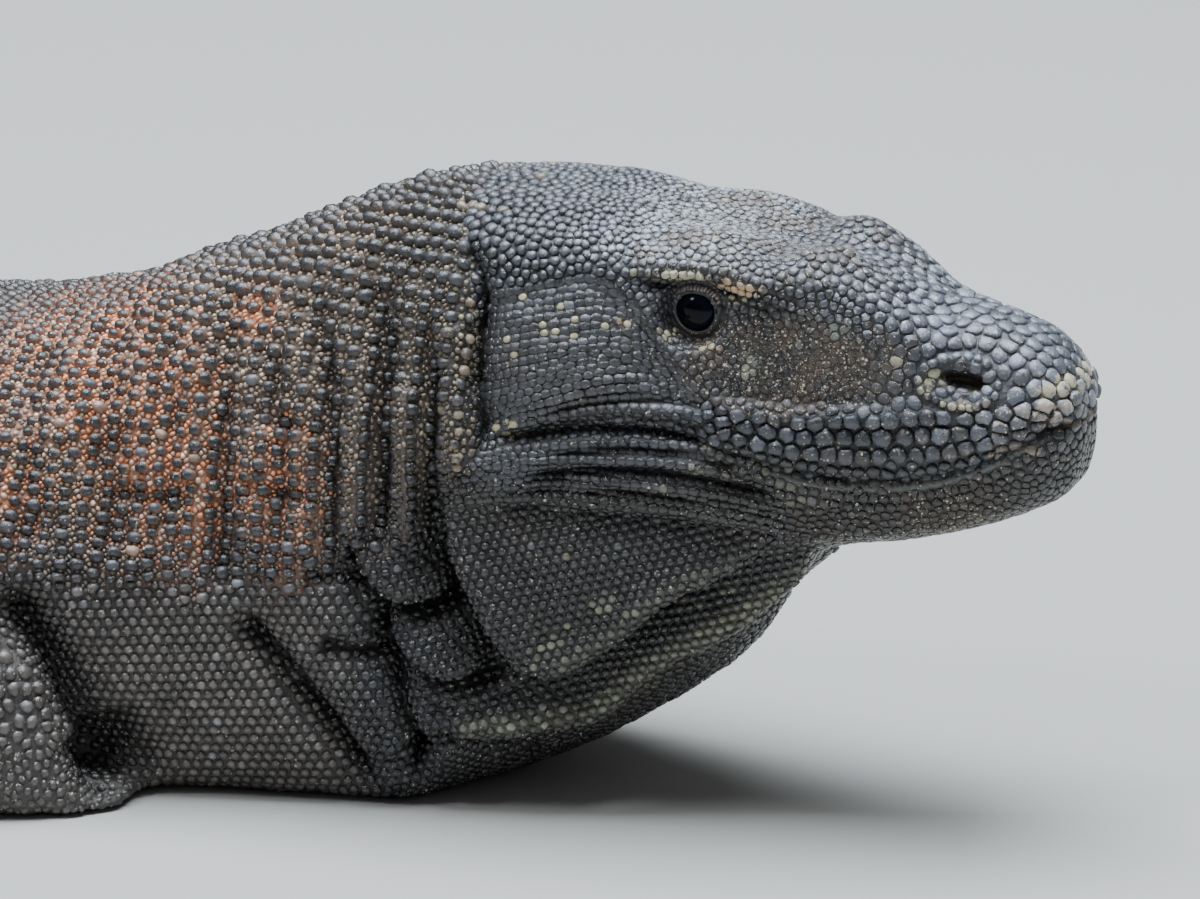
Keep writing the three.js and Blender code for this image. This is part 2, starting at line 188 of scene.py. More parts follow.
def new_piece(name, mesh):
    piece = new_object(name, mesh)
    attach(piece, "root")
    return piece


def summed(index, values, count):
    """For each number below count, the sum of those values (x, y, z) whose index it is."""
    return np.stack([np.bincount(index, values[:, k], count) for k in range(3)], -1)


def point_normals(points, faces):
    a, b, c = (points[faces[:, k]] for k in range(3))
    area = np.cross(b - a, c - a)
    return unit(sum(summed(faces[:, corner], area, len(points)) for corner in range(3)))


def point_tree(points):
    tree = kdtree.KDTree(len(points))
    for i, p in enumerate(points.tolist()):
        tree.insert(p, i)
    tree.balance()
    return tree


def edges_of(faces):
    pairs = np.sort(faces[:, [0, 1, 1, 2, 2, 0]].reshape(-1, 2), axis=1)
    keys, index = np.unique(pairs[:, 0].astype(np.int64) << 32 | pairs[:, 1], return_inverse=True)
    return np.stack([keys >> 32, keys & 0xFFFFFFFF], -1).astype(np.int64), index.reshape(-1, 3)


PULL = 0.5  # how far a point moves to the middle of its neighbours
PULL_AND_BACK = (PULL, -0.52)  # the same, and then about as far back out, so that little is lost


def relaxed(points, faces, rounds, factors=PULL_AND_BACK, share=None):
    """A smoothed surface. share is how much each point takes part."""
    edges = edges_of(faces)[0]
    a, b = edges.T
    count = np.bincount(np.r_[a, b], minlength=len(points))[:, None]
    amount = 1 if share is None else share[:, None]
    for _ in range(rounds):
        for factor in factors:
            total = summed(np.r_[a, b], points[np.r_[b, a]], len(points))
            points = points + amount * factor * (total / count - points)
    return points


def refined(points, faces, chosen):
    """Splits each chosen triangle in four, and its neighbours so that no gap opens."""
    edges, face_edges = edges_of(faces)
    split = np.zeros(len(edges), bool)
    split[face_edges[chosen]] = True
    while True:
        partly = split[face_edges].sum(1) == 2
        if not partly.any():
            break
        split[face_edges[partly]] = True
    middle = np.full(len(edges), -1)
    middle[split] = len(points) + np.arange(split.sum())
    points = np.concatenate([points, points[edges[split]].mean(1)])
    halves = middle[face_edges]
    count = (halves >= 0).sum(1)
    kept = faces[count == 0]
    f, m = faces[count == 3], halves[count == 3]
    fours = [
        np.stack([f[:, 0], m[:, 0], m[:, 2]], -1),
        np.stack([f[:, 1], m[:, 1], m[:, 0]], -1),
        np.stack([f[:, 2], m[:, 2], m[:, 1]], -1),
        m,
    ]
    f, m = faces[count == 1], halves[count == 1]
    turn = np.argmax(m >= 0, axis=1)
    rows = np.arange(len(f))
    a, b, c = (f[rows, (turn + k) % 3] for k in range(3))
    mid = m[rows, turn]
    twos = [np.stack([a, mid, c], -1), np.stack([mid, b, c], -1)]
    return points, np.concatenate([kept, *fours, *twos])


def smooth_line(line, steps=6):
    """A curve through the points of a line, as closely spaced points."""
    line = np.asarray(line, float)
    padded = np.concatenate([[2 * line[0] - line[1]], line, [2 * line[-1] - line[-2]]])
    t = np.arange(steps)[:, None] / steps
    parts = []
    for p, a, b, q in zip(padded, padded[1:], padded[2:], padded[3:]):
        square, cube = 2 * p - 5 * a + 4 * b - q, 3 * a - p - 3 * b + q
        parts.append(0.5 * (2 * a + (b - p) * t + square * t**2 + cube * t**3))
    return np.concatenate([*parts, line[-1:]])


def beside_line(flat, line):
    """For points in a plane: distance from the smooth curve through a line, share of the way along it, which
    side they lie on (+1 to its left), and the direction to its left."""
    curve = smooth_line(line)
    start, way = curve[:-1], np.diff(curve, axis=0)
    lengths = np.linalg.norm(way, axis=1)
    travelled = np.r_[0, np.cumsum(lengths)]
    best = np.full(len(flat), np.inf)
    share = np.zeros(len(flat))
    side = np.ones(len(flat))
    leftward = np.zeros(flat.shape)
    for i in range(len(way)):
        offset = flat - start[i]
        t = np.clip(offset @ way[i] / lengths[i] ** 2, 0, 1)
        rest = offset - t[:, None] * way[i]
        distance = np.hypot(rest[:, 0], rest[:, 1])
        nearer = distance < best
        best = np.where(nearer, distance, best)
        share = np.where(nearer, (travelled[i] + t * lengths[i]) / travelled[-1], share)
        cross = way[i][0] * offset[:, 1] - way[i][1] * offset[:, 0]
        side = np.where(nearer, np.where(cross >= 0, 1, -1), side)
        leftward[nearer] = (-way[i][1] / lengths[i], way[i][0] / lengths[i])
    return best, share, side, leftward


# ---------------------------------------------------------------- the plain skin
HIDE_NODES = [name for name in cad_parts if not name.startswith(("eye_", "claw_"))]
COAT_DEPTH = 1.2  # the skin lies this far inside the solids
VOXEL = 5
OVERLAP = 0.4  # the solids are grown by this, so that they meet across the gaps between them
EYE_PLACE = {}
EYE_SHIFT = (-1.2, 0, 0.5)  # the finer eye looks out from this far ahead of and above the solid's middle
for side_name in SIDES:
    low, high = box_mm(f"eye_{side_name}")
    EYE_PLACE[side_name] = body_places(((low + high) / 2)[None])[0] + EYE_SHIFT
EYE_RADIUS = (box_mm("eye_right")[1] - box_mm("eye_right")[0])[1] / 2
NOSTRIL = (37, 30, 164)
EAR = (199, 62, 172)
# Solids that fill the nostrils and ears: the place, how much nearer the midline they lie, and their radii.
PLUGS = [(NOSTRIL, 2, (7, 4, 5)), (EAR, 3.5, (6, 7, 20))]
EYE_PLUG = EYE_RADIUS + 1
# Patches that are first made plain: the middle, and the reaches at which they start to fade and end.
PLAIN_PATCHES = [(NOSTRIL, 9, 18), (EAR, 14, 30)]
PLAIN_PATCHES += [(np.abs(place), 13, 24) for place in EYE_PLACE.values()]
PLAIN_SHARE = 0.8
FINER_AHEAD = (365, 262)  # the skin's triangles are split in four ahead of each of these
FIRST_ROUNDS = 30  # rounds of smoothing: of the whole skin, of the plain patches, and after each split
PLAIN_ROUNDS = 40
SPLIT_ROUNDS = 4


def turns_round(count):
    """Angles spread evenly over a full turn."""
    return np.arange(count) * 2 * math.pi / count


def closed_tube(rings, around):
    """Triangles of rings of points and two points that close the ends: the first ring's, then the last's."""
    faces = []
    for r in range(rings - 1):
        for k in range(around):
            a, b = r * around + k, r * around + (k + 1) % around
            faces += [(a, a + around, b), (b, a + around, b + around)]
    last, end = (rings - 1) * around, rings * around
    for k in range(around):
        after = (k + 1) % around
        faces += [(end, k, after), (end + 1, last + after, last + k)]
    return np.array(faces)


def ball(centre, radii, around=24, rings=14):
    """A closed ellipsoid."""
    lat = np.linspace(0, math.pi, rings + 1)[1:-1]
    lon = turns_round(around)
    grid = np.stack(
        [
            np.sin(lat)[:, None] * np.cos(lon),
            np.sin(lat)[:, None] * np.sin(lon),
            np.cos(lat)[:, None] * np.ones(around),
        ],
        -1,
    ).reshape(-1, 3)
    points = np.concatenate([grid, [[0, 0, 1], [0, 0, -1]]]) * radii + centre
    return points, closed_tube(rings - 1, around)


def plugs():
    """Solids that fill the hollows of the eyes, nostrils and ears. The skin has its own eyes and nostrils."""
    for side_name, side in SIDES.items():
        yield ball(body_points(EYE_PLACE[side_name])[0], EYE_PLUG)
        for (along, half, up), inward, radii in PLUGS:
            yield ball(body_points((along, side * (half - inward), up))[0], radii)


def plain_skin():
    """One closed surface over all the flesh solids."""
    solids = [merged(*cad_mesh(name)) for name in HIDE_NODES]
    parts = [*solids, *plugs()]
    grown = [(points + OVERLAP * point_normals(points, faces), faces) for points, faces in parts]
    rough = new_object("rough", new_mesh("rough", *together(grown)))
    remesh = rough.modifiers.new("remesh", "REMESH")
    remesh.mode = "VOXEL"
    remesh.voxel_size = VOXEL * MM
    evaluated = rough.evaluated_get(bpy.context.evaluated_depsgraph_get())
    points, faces = mesh_arrays(evaluated.to_mesh())
    evaluated.to_mesh_clear()
    bpy.data.objects.remove(rough)
    return points, faces


def near_openings(places):
    """How much each place belongs to the plain patches round the eyes, nostrils and ears."""
    near = np.zeros(len(places))
    for (along, _, up), inner, outer in PLAIN_PATCHES:
        distance = np.hypot(places[:, 0] - along, places[:, 2] - up)
        near = np.maximum(near, 1 - smoothstep(inner, outer, distance))
    return near


def base_skin():
    points, faces = plain_skin()
    points = relaxed(points, faces, FIRST_ROUNDS)
    plain = near_openings(body_places(points)) * PLAIN_SHARE
    points = relaxed(points, faces, PLAIN_ROUNDS, (PULL,), plain)
    for region in FINER_AHEAD:
        along = body_places(points[faces].mean(1))[:, 0]
        points, faces = refined(points, faces, along < region)
        points = relaxed(points, faces, SPLIT_ROUNDS)
    return points, faces


# ---------------------------------------------------------------- folds
# Creases seen from the side: points (along, up), then half width and depth. Skin rolls in on both sides.
MOUTH = [
    *[(3, 148.6), (9, 147), (17, 142.6), (33, 134), (50, 129)],
    *[(68, 127.5), (88, 129.5), (105, 134), (124, 141)],
]
BEHIND_TEMPLE = [
    *[(214, 204), (208, 197), (204.5, 188), (203.5, 176)],
    *[(204, 164), (202, 150), (199.5, 138), (202, 127)],
]
CREASES = [
    (MOUTH, 1.2, 4.6),
    ([(116, 137), (134, 142.4), (156, 142.8), (172, 140.8), (186, 138.4), (198, 136)], 2.2, 11),
    ([(112, 149), (127, 153.5), (140, 154.6), (156, 153), (176, 148)], 1.4, 3.6),
    ([(112, 141.5), (130, 146.8), (146, 148), (162, 146.4), (184, 142)], 1.4, 4.6),
    ([(106, 129), (122, 134), (140, 136.4), (160, 135.4), (178, 133)], 1.8, 6.5),
    ([(96, 119.5), (118, 125.5), (140, 128.6), (162, 127.6), (186, 124)], 2.4, 9),
    ([(90, 110), (114, 117.5), (140, 120.5), (170, 120), (192, 119)], 2, 5),
    ([(146, 192), (137, 193.6), (127, 193.6), (118, 191.8), (110, 188)], 1.5, 4.8),
    ([(58, 162.5), (48, 158.6), (39, 155.6), (31, 155.8)], 1.2, 1.6),
    ([(126, 160), (112, 157), (96, 155.5), (80, 156), (66, 158)], 1.6, 1.6),
    ([(118, 145), (100, 141.8), (84, 140), (66, 139.8), (48, 142)], 1.1, 1.3),
    (BEHIND_TEMPLE, 2.4, 9),
    ([(206, 190), (204.5, 178), (204, 165), (202.5, 152)], 3.4, 5),
    ([(1, 149.6), (6, 148.4), (12, 145.6)], 1.8, 4),
    ([(284, 73), (276, 61), (269, 53), (261, 42), (252, 29), (245, 17), (238, 4)], 3.4, 17),
    ([(362, 80), (349, 65), (340, 52.5), (332, 38.5), (325, 25), (317, 6)], 3.6, 18),
    ([(329, 31), (322, 18), (316, 5)], 7, 10),
    ([(297, 150), (291, 133), (289, 117), (289, 95), (288, 74)], 2.2, 2.2),
    ([(262, 170), (255, 154), (251, 134), (250, 105), (252, 84)], 2.2, 1.8),
    ([(238, 180), (236, 165), (236, 147), (234, 122), (235, 92)], 2.2, 2.2),
    ([(220, 168), (217, 150), (216, 136), (217, 116), (217, 98)], 2.2, 2.6),
    ([(190, 58), (183, 52), (175, 51), (165, 55.5), (155, 62.5), (145, 71), (133, 79.5), (120, 86)], 2.2, 9),
    ([(230, 74), (229.5, 56), (227, 38), (222, 21), (222, 7)], 2.8, 12),
    ([(226, 24), (222, 19), (218, 15)], 5, 9),
    ([(256, 61), (242, 57), (231, 58.5)], 2.4, 9),
    ([(262, 83), (248, 84), (238, 82)], 3, 5),
    ([(218, 28), (206, 23), (197, 19), (186, 16)], 2.8, 7),
    ([(219, 38), (206, 36), (192, 33)], 2.6, 4),
]
# Broad soft valleys of the neck: points (along, up), half width and depth.
VALLEYS = [
    ([(303, 178), (294, 148), (290, 122), (289, 98), (288, 72)], 6.5, 5.6),
    ([(268, 186), (258, 160), (252, 134), (250, 105), (252, 82)], 6, 5),
    ([(242, 192), (237, 168), (236, 147), (234, 120), (235, 88)], 5.5, 5.4),
    ([(222, 180), (218, 154), (216, 136), (217, 114), (217, 94)], 4.5, 5),
    ([(282, 172), (273, 146), (269, 120), (269, 90)], 4.5, 3.6),
    ([(344, 170), (333, 134), (327, 104), (322, 82)], 9, 5),
    ([(322, 172), (311, 138), (307, 110), (304, 84)], 6, 3.2),
    ([(372, 160), (360, 130), (354, 104), (350, 84)], 8, 4),
    ([(330, 112), (312, 108), (296, 110)], 4, 2.4),
    ([(284, 140), (268, 136), (254, 138)], 3.6, 2.4),
    ([(286, 116), (270, 112), (254, 114)], 3.6, 2.6),
]
# Edges where one sheet of skin lies over another: points (along, up) with the lower sheet on the left of the
# way they run, how far the lower sheet stays down, how deep, the width of the drop, and how far the upper
# sheet hangs over it.
FLAP_EDGE = [
    *[(203, 122), (208.5, 113), (207.5, 104), (204, 92), (199, 82), (193, 71)],
    *[(187.5, 61), (183.5, 56), (177, 55), (168, 58.5), (160, 64), (151, 71)],
    *[(142, 80), (130, 88), (113, 95), (93, 101)],
]
FLAP_TOP = [(204, 113), (191, 116), (177, 117), (157, 115), (140, 114), (122, 112), (104, 108), (80, 98)]
OVERLAPS = [
    (FLAP_EDGE, 18, 20, 1.6, 4),
    ([(243, 100), (236, 86), (229, 79), (222, 78), (215, 81), (210, 92)], 9, 13, 1.8, 2.5),
    ([(229.5, 80), (229, 68), (225.5, 60), (214, 52), (201, 51.5), (190, 56)], 10, 11, 1.8, 2.5),
    (FLAP_TOP, 10, 4.5, 4, 0),
    ([(152, 197), (140, 194.6), (127, 194), (114, 192), (102, 188.6), (92, 186)], 9, 4, 1.6, 0.8),
    ([(197, 128), (201, 142), (202.5, 160), (203.5, 175), (205, 188), (208, 200)], 13, 3.5, 1.4, 0.8),
]
# Soft ridges: points (along, up), half width and height.
PALE_RIDGE = [
    *[(89, 94), (102, 82), (118, 70), (134, 60), (148, 50)],
    *[(160, 40), (170, 33), (186, 32), (204, 30)],
]
LIP_TOP = [
    *[(2, 157), (9, 157), (19, 155), (35, 153), (50, 152.5)],
    *[(66, 151), (86, 149.6), (105, 150.2), (125, 153)],
]
LIP_EDGE = [(101, 129.2), (84, 126), (66, 125.4), (50, 127), (33, 132), (18, 140.5), (9, 145.5)]
RIDGES = [
    (PALE_RIDGE, 3.4, 8),
    ([(108, 90), (127, 81), (140, 75), (154, 62), (168, 49), (187, 44), (208, 40)], 2.4, 4),
    (LIP_EDGE, 0.9, 1.1),
    ([(114, 133), (134, 138.6), (156, 139.2), (178, 136.4)], 3.2, 1.8),
    ([(106, 124), (126, 129.8), (146, 132), (168, 131), (186, 128)], 3.6, 2.4),
    ([(98, 114.5), (122, 121), (146, 124.6), (172, 123.6)], 3.4, 2),
    (LIP_TOP[3:], 3, 1.8),
    ([(124, 147), (105, 142), (86, 139.5), (66, 139), (50, 141), (34, 144)], 4, 1.2),
    ([(148, 198.6), (136, 197.8), (124, 197.2), (112, 195.6), (100, 192)], 2.4, 1.8),
    ([(53, 164), (48, 159.2), (40, 156.4), (32, 156.6), (26.5, 160.5)], 1.7, 2),
    ([(53, 164), (48, 169.5), (39, 171.2), (30, 169)], 1.6, 1.2),
    ([(212, 178), (210.5, 160), (208, 140), (209, 122)], 4, 2.2),
    ([(227, 156), (226, 135), (225, 115), (224, 92)], 5, 3),
    ([(244, 165), (243, 130), (242, 96)], 5, 3.2),
]
# Swellings of the top of the head: along, distance from the midline, reach along and across, height.
SWELLINGS = [
    (166, 18, 16, 16, 2.2),
    (128, 27, 15, 10, 3.0),
    (88, 19, 13, 11, 4.4),
    (112, 0, 24, 9, -1.6),
    (51, 12, 13, 15, -3.4),
    (104, 21, 8, 14, -3.0),
]
THROAT_HOLLOW = (97, 0, 15, 34, 6.5)  # the same for the underside, behind the chin
NAPE_SHAPE = [(330, 34, 4.6), (412, 36, -3.6)]  # along, reach and height
MIRROR_SHIFT = 2.5  # the far side's folds lie a little further back, so that the two sides differ
LINE_REACH = 30  # a line has no effect further away than this

# Fine wrinkles fan out from the corner of the mouth over the temple, and run level behind the mouth, with
# rows of scales between them. Lines over the temple: share of the way up, and points (along, up).
TEMPLE_LINES = [
    (0.0, [(202, 138), (188, 142), (173, 146), (158, 149.5), (144, 150.5), (134, 150), (124, 148)]),
    (0.22, [(202, 145), (189, 151), (175, 156.8), (160, 161.5), (146, 163), (136, 158.5), (124, 152.5)]),
    (
        0.62,
        [(203, 166.5), (184, 172.3), (171.6, 174.8), (160, 177), (149, 174.5), (137, 165.5), (124.5, 157)],
    ),
    (1.0, [(203, 184), (189, 188), (175, 191.5), (164, 193), (153, 189), (146, 180), (139, 171)]),
]
JAW_TOP = [(119, 138), (140, 140), (160, 139), (180, 136.5), (199, 132)]
JAW_BOTTOM = [(82, 102), (110, 110), (140, 115.5), (170, 118), (203, 115)]


def temple_line(share):
    """One line over the temple, from the back of the head forwards and down to the corner of the mouth."""
    shares = [level for level, _ in TEMPLE_LINES]
    columns = np.array([line for _, line in TEMPLE_LINES], float).reshape(len(shares), -1).T
    return np.array([np.interp(share, shares, column) for column in columns]).reshape(-1, 2)


def line_between(start, end, share):
    return np.array(start) * (1 - share) + np.array(end) * share


def lip_line(share):
    """One line along the upper lip, from the mouth up."""
    return line_between(MOUTH, LIP_TOP, share)


def jaw_line(share):
    """One line along the back of the jaw, from its top to its bottom."""
    return line_between(JAW_TOP, JAW_BOTTOM, share)


def halfway(values):
    return (values[:-1] + values[1:]) / 2


TEMPLE_SHARES = np.linspace(0.02, 1, 18)
JAW_SHARES = np.linspace(0.04, 0.96, 9)
WRINKLES = [(temple_line(share), 0.8, 1.5 + 2.4 * (1 - share) ** 3) for share in halfway(TEMPLE_SHARES)]
WRINKLES += [(jaw_line(share), 0.9, 1.3) for share in halfway(JAW_SHARES)]


def bell(distance, width):
    return np.exp(-((distance / width) ** 2))


def rolled_in(distance, width):
    """The section of a crease: sharp in the middle, with round shoulders."""
    return np.exp(-np.sqrt(distance**2 + 0.3) / width)


# Lines that shape the skin: which, outwards (1) or inwards, share of each end that fades, section.
SHAPING_LINES = [
    (RIDGES, 1, 0.12, bell),
    (VALLEYS, -1, 0.2, bell),
    (CREASES + WRINKLES, -1, 0.15, rolled_in),
]
MOUTH_FADE = 0.12  # the mouth only fades at its back end
OVERLAP_FADES = (0.2, 0.22)
EDGE_ROLL = (0.1, 1.2)  # the upper sheet's edge rolls in: share of the depth, width
EDGE_LIFT = (0.16, 4, 5)  # and it swells behind its edge: share of the depth, how far behind, width
HANG_REACH = 7  # how far back from its edge the upper sheet is pulled over the lower one


def near_line(flat, line):
    line = np.asarray(line)
    low, high = line.min(0) - LINE_REACH, line.max(0) + LINE_REACH
    return np.flatnonzero(((flat > low) & (flat < high)).all(1))


def fold_moves(places, facing):
    """How far folds move the skin outwards (above 0) or inwards, and back and up along the side. facing is
    how much the skin faces sideways."""
    flat = places[:, [0, 2]].copy()
    flat[:, 0] -= np.where(places[:, 1] > 0, MIRROR_SHIFT, 0) * smoothstep(150, 220, places[:, 0])
    sideways = smoothstep(0.05, 0.4, facing)
    out = np.zeros(len(places))
    along_side = np.zeros(flat.shape)
    for line, reach, depth, drop, hang in OVERLAPS:
        near = near_line(flat, line)
        distance, share, side, leftward = beside_line(flat[near], line)
        start, end = OVERLAP_FADES
        taper = smoothstep(0, start, share) * smoothstep(0, end, 1 - share) * sideways[near]
        sunk = smoothstep(0, drop, distance) * bell(distance, reach) * (side > 0)
        amount, width = EDGE_ROLL
        rolled = amount * np.exp(-distance / width) * (side < 0)
        amount, behind, width = EDGE_LIFT
        lifted = amount * bell(distance - behind, width) * (side < 0)
        out[near] -= depth * taper * (sunk + rolled - lifted)
        pulled = np.where(side > 0, 1 - smoothstep(0, drop, distance), bell(distance, HANG_REACH))
        along_side[near] += (hang * taper * pulled)[:, None] * leftward
    for lines, sign, fade, section in SHAPING_LINES:
        for line, width, height in lines:
            near = near_line(flat, line)
            distance, share, _, _ = beside_line(flat[near], line)
            taper = smoothstep(0, fade, share) * smoothstep(0, fade, 1 - share)
            if line is MOUTH:
                taper = smoothstep(0, MOUTH_FADE, 1 - share)
            out[near] += sign * height * taper * section(distance, width) * sideways[near]
    return out, along_side


RIPPLE_WAVES = 5
RIPPLE_STEP = 1.9  # each octave's waves are shorter and lower by this


def ripples(points, wavelength, octaves=3):
    """A smooth uneven pattern, about -1 to 1, the same on each run."""
    waves = np.random.default_rng(SEED)
    total = np.zeros(len(points))
    for octave in range(octaves):
        for _ in range(RIPPLE_WAVES):
            way = unit(waves.normal(size=3)) * 2 * math.pi * RIPPLE_STEP**octave / wavelength
            total += np.sin(points @ way + waves.uniform(0, 2 * math.pi)) / RIPPLE_STEP**octave
    return total / 4


NOSTRIL_REACH = (8.4, 3.7)


def nostril_ring(places):
    """Distance from the middle of the nostril, as a share of its size, and how far up in it a place is."""
    back = places[:, 0] - NOSTRIL[0]
    up = (places[:, 2] - NOSTRIL[2] - 0.2 - 0.12 * back) / NOSTRIL_REACH[1]
    return np.where(places[:, 0] < 60, np.hypot(back / NOSTRIL_REACH[0], up), 9), up


def nostril_depth(places):
    """The nostril's slit: deep under a steep upper edge, with a floor that slopes out below."""
    ring, up = nostril_ring(places)
    floor = smoothstep(-1.1, 0.3, up)
    return -(2.5 + 5 * floor) * (1 - smoothstep(0.6, 1.08, ring))


def swelling(places, along, left, reach_along, reach_left, height):
    away = ((places[:, 0] - along) / reach_along) ** 2 + ((np.abs(places[:, 1]) - left) / reach_left) ** 2
    return height * np.exp(-away)


def swellings(places, normals):
    """Humps and hollows of the top of the head, of the nape and of the throat behind the chin."""
    along = places[:, 0]
    head = sum(swelling(places, *shape) for shape in SWELLINGS) * smoothstep(0.2, 0.6, normals[:, 2])
    nape = sum(height * np.exp(-(((along - middle) / reach) ** 2)) for middle, reach, height in NAPE_SHAPE)
    total = head * (along < 230) + nape * smoothstep(0.3, 0.9, normals[:, 2])
    return total - swelling(places, *THROAT_HOLLOW) * smoothstep(0.1, -0.5, normals[:, 2])


# ---------------------------------------------------------------- eyes and lids
LID_OPENING = 7.3  # half the width of the eye that shows
LID_TOP = 8.0  # the upper lid cuts the round opening off flat at this height
LID_THICKNESS = 1.1
LID_REACH = 9.6  # the lids follow the eyeball to this far from its middle
SOCKET_EDGE = 14
SOCKET_BACK = -6  # skin further inwards than this is left alone
SOCKET_SINK = 5  # the skin behind the eye lies this far inside it
SNAP = (0.55, 0.06)  # points this near the opening are moved to this far from it


def eye_place(places, side_name):
    """For each place: offset back and up from the eye's middle, and outwards from it."""
    offset = places - EYE_PLACE[side_name]
    return offset[:, 0], offset[:, 2], offset[:, 1] * SIDES[side_name]


def opening_radius(angle):
    """How far the opening between the lids reaches from its middle, by angle from the tailward direction."""
    top = LID_TOP / np.maximum(np.sin(angle), 0.35)
    return 1 / (LID_OPENING**-6 + top**-6) ** (1 / 6)


def with_eye_sockets(places):
    """Moves the skin round each eye onto the lids, and the skin behind it into the eye, out of sight."""
    places = places.copy()
    for side_name, side in SIDES.items():
        back, rise, out = eye_place(places, side_name)
        distance = np.hypot(back, rise)
        near = np.flatnonzero((distance < SOCKET_EDGE) & (out > SOCKET_BACK))
        angle = np.arctan2(rise[near], back[near])
        edge = opening_radius(angle)
        gap = distance[near] - edge
        snapped = np.where(np.abs(gap) < SNAP[0], edge + np.sign(gap + 1e-9) * SNAP[1], distance[near])
        reach = np.minimum(snapped, LID_REACH)
        ball_out = np.sqrt(np.maximum((EYE_RADIUS + LID_THICKNESS) ** 2 - reach**2, 0))
        target = np.where(gap < 0, ball_out - SOCKET_SINK, ball_out)
        blend = 1 - smoothstep(9.2, SOCKET_EDGE - 0.5, distance[near])
        moved = out[near] + blend * (target - out[near])
        scale = snapped / np.maximum(distance[near], 1e-6)
        along, left, up = EYE_PLACE[side_name]
        places[near, 0] = along + back[near] * scale
        places[near, 2] = up + rise[near] * scale
        places[near, 1] = left + side * moved
    return places


# Where the triangles are split once more: along, up, reach.
FINE_SPOTS = [(EYE_PLACE["right"][0], EYE_PLACE["right"][2], 17), (NOSTRIL[0], NOSTRIL[2], 12)]
FINE_FACING = 0.35  # and how much the skin there has to face sideways
FLOOR_CLEARANCE = 0.4
BODY_RIPPLES = (0.9, 34)  # an unevenness of the trunk and neck: height, wavelength
SKIN_RIPPLES = (0.35, 16)  # and of all the skin
SOFTENING = 0.35  # a last light smoothing


def sculpted_skin():
    points, faces = base_skin()
    places = body_places(points[faces].mean(1))
    fine = np.zeros(len(faces), bool)
    for along, up, radius in FINE_SPOTS:
        fine |= np.hypot(places[:, 0] - along, places[:, 2] - up) < radius
    sides = np.abs(point_normals(points, faces)[faces[:, 0], 1]) > FINE_FACING
    points, faces = refined(points, faces, fine & sides)
    normals = point_normals(points, faces)
    places = body_places(points)
    leftward = body_directions(places[:, 0])[1]
    facing = (normals * leftward).sum(1) * np.sign(places[:, 1])
    folds, along_side = fold_moves(places, facing)
    move = folds + nostril_depth(places) * smoothstep(0.1, 0.4, facing)
    height, wavelength = BODY_RIPPLES
    uneven = smoothstep(260, 420, places[:, 0]) * height * ripples(places * (1, 0.4, 0.4), wavelength)
    height, wavelength = SKIN_RIPPLES
    move += uneven + height * ripples(points, wavelength) - COAT_DEPTH
    move += swellings(places, normals)
    points = points + normals * move[:, None]
    points = relaxed(points, faces, 1, (SOFTENING,))
    places = body_places(points)
    places[:, [0, 2]] += along_side
    places = with_eye_sockets(places)
    places[:, 2] = np.maximum(places[:, 2], FLOOR_CLEARANCE)
    return body_points(places), faces, smoothstep(1.2, 10, -folds)


# ---------------------------------------------------------------- where the scales grow
RAY_START = 200.0  # rays to the side of the animal start this far from the midline


class Surface:
    """The finished skin, with fast ways to find points on it."""

    def __init__(self, points, faces, sunk):
        self.points = points
        self.faces = faces
        self.sunk = sunk
        self.normals = point_normals(points, faces)
        self.places = body_places(points)
        self.middles = points[faces].mean(1)
        self.tree = BVHTree.FromPolygons(points.tolist(), faces.tolist())

    def nearest(self, targets):
        found = [self.tree.find_nearest(target) for target in targets.tolist()]
        return np.array([f[0] for f in found]), np.array([f[2] for f in found])

    def normal_at(self, spots, face_index):
        """Smooth normals, blended from the corners of the triangle that each spot is in."""
        corners = self.faces[face_index]
        distance = np.linalg.norm(self.points[corners] - spots[:, None], axis=2) + 0.05
        share = 1 / distance
        return unit((self.normals[corners] * (share / share.sum(1, keepdims=True))[:, :, None]).sum(1))

    def landed(self, targets):
        """The points of the skin nearest to targets, and its normals there."""
        spots, index = self.nearest(targets)
        return spots, self.normal_at(spots, index)

    def rays(self, origins, directions):
        """Where rays from outside first meet the skin, as points, normals and which rays did."""
        spots, index, found = [], [], []
        for k, (origin, way) in enumerate(zip(origins.tolist(), directions.tolist())):
            hit = self.tree.ray_cast(origin, way)
            if hit[0] is not None:
                spots.append(hit[0])
                index.append(hit[2])
                found.append(k)
        spots = np.array(spots).reshape(-1, 3)
        return spots, self.normal_at(spots, np.array(index, int)), np.array(found, int)

    def sunk_at(self, spots):
        """How deep in a fold each spot lies, from 0 to 1."""
        return self.sunk[self.faces[self.nearest(spots)[1], 0]]

    def from_side(self, flat, side):
        """Points on one side of the animal, at (along, up) as seen from that side."""
        places = np.stack([flat[:, 0], np.full(len(flat), side * RAY_START), flat[:, 1]], -1)
        leftward = body_directions(flat[:, 0])[1]
        return self.rays(body_points(places), -side * leftward)


def sample_faces(surface, chosen, count):
    """Random points spread evenly over the chosen triangles."""
    corners = surface.points[surface.faces[chosen]]
    area = np.linalg.norm(np.cross(corners[:, 1] - corners[:, 0], corners[:, 2] - corners[:, 0]), axis=1)
    pick = np.searchsorted(np.cumsum(area) / area.sum(), chance.random(count))
    pick = np.minimum(pick, len(area) - 1)
    u, v = chance.random((2, count))
    over = u + v > 1
    u[over], v[over] = 1 - u[over], 1 - v[over]
    a, b, c = (corners[pick, k] for k in range(3))
    return a + u[:, None] * (b - a) + v[:, None] * (c - a), np.flatnonzero(chosen)[pick], area.sum() / 2


SPACING_SHARE = 0.41  # two seeds lie at least this share of the sum of their spacings apart


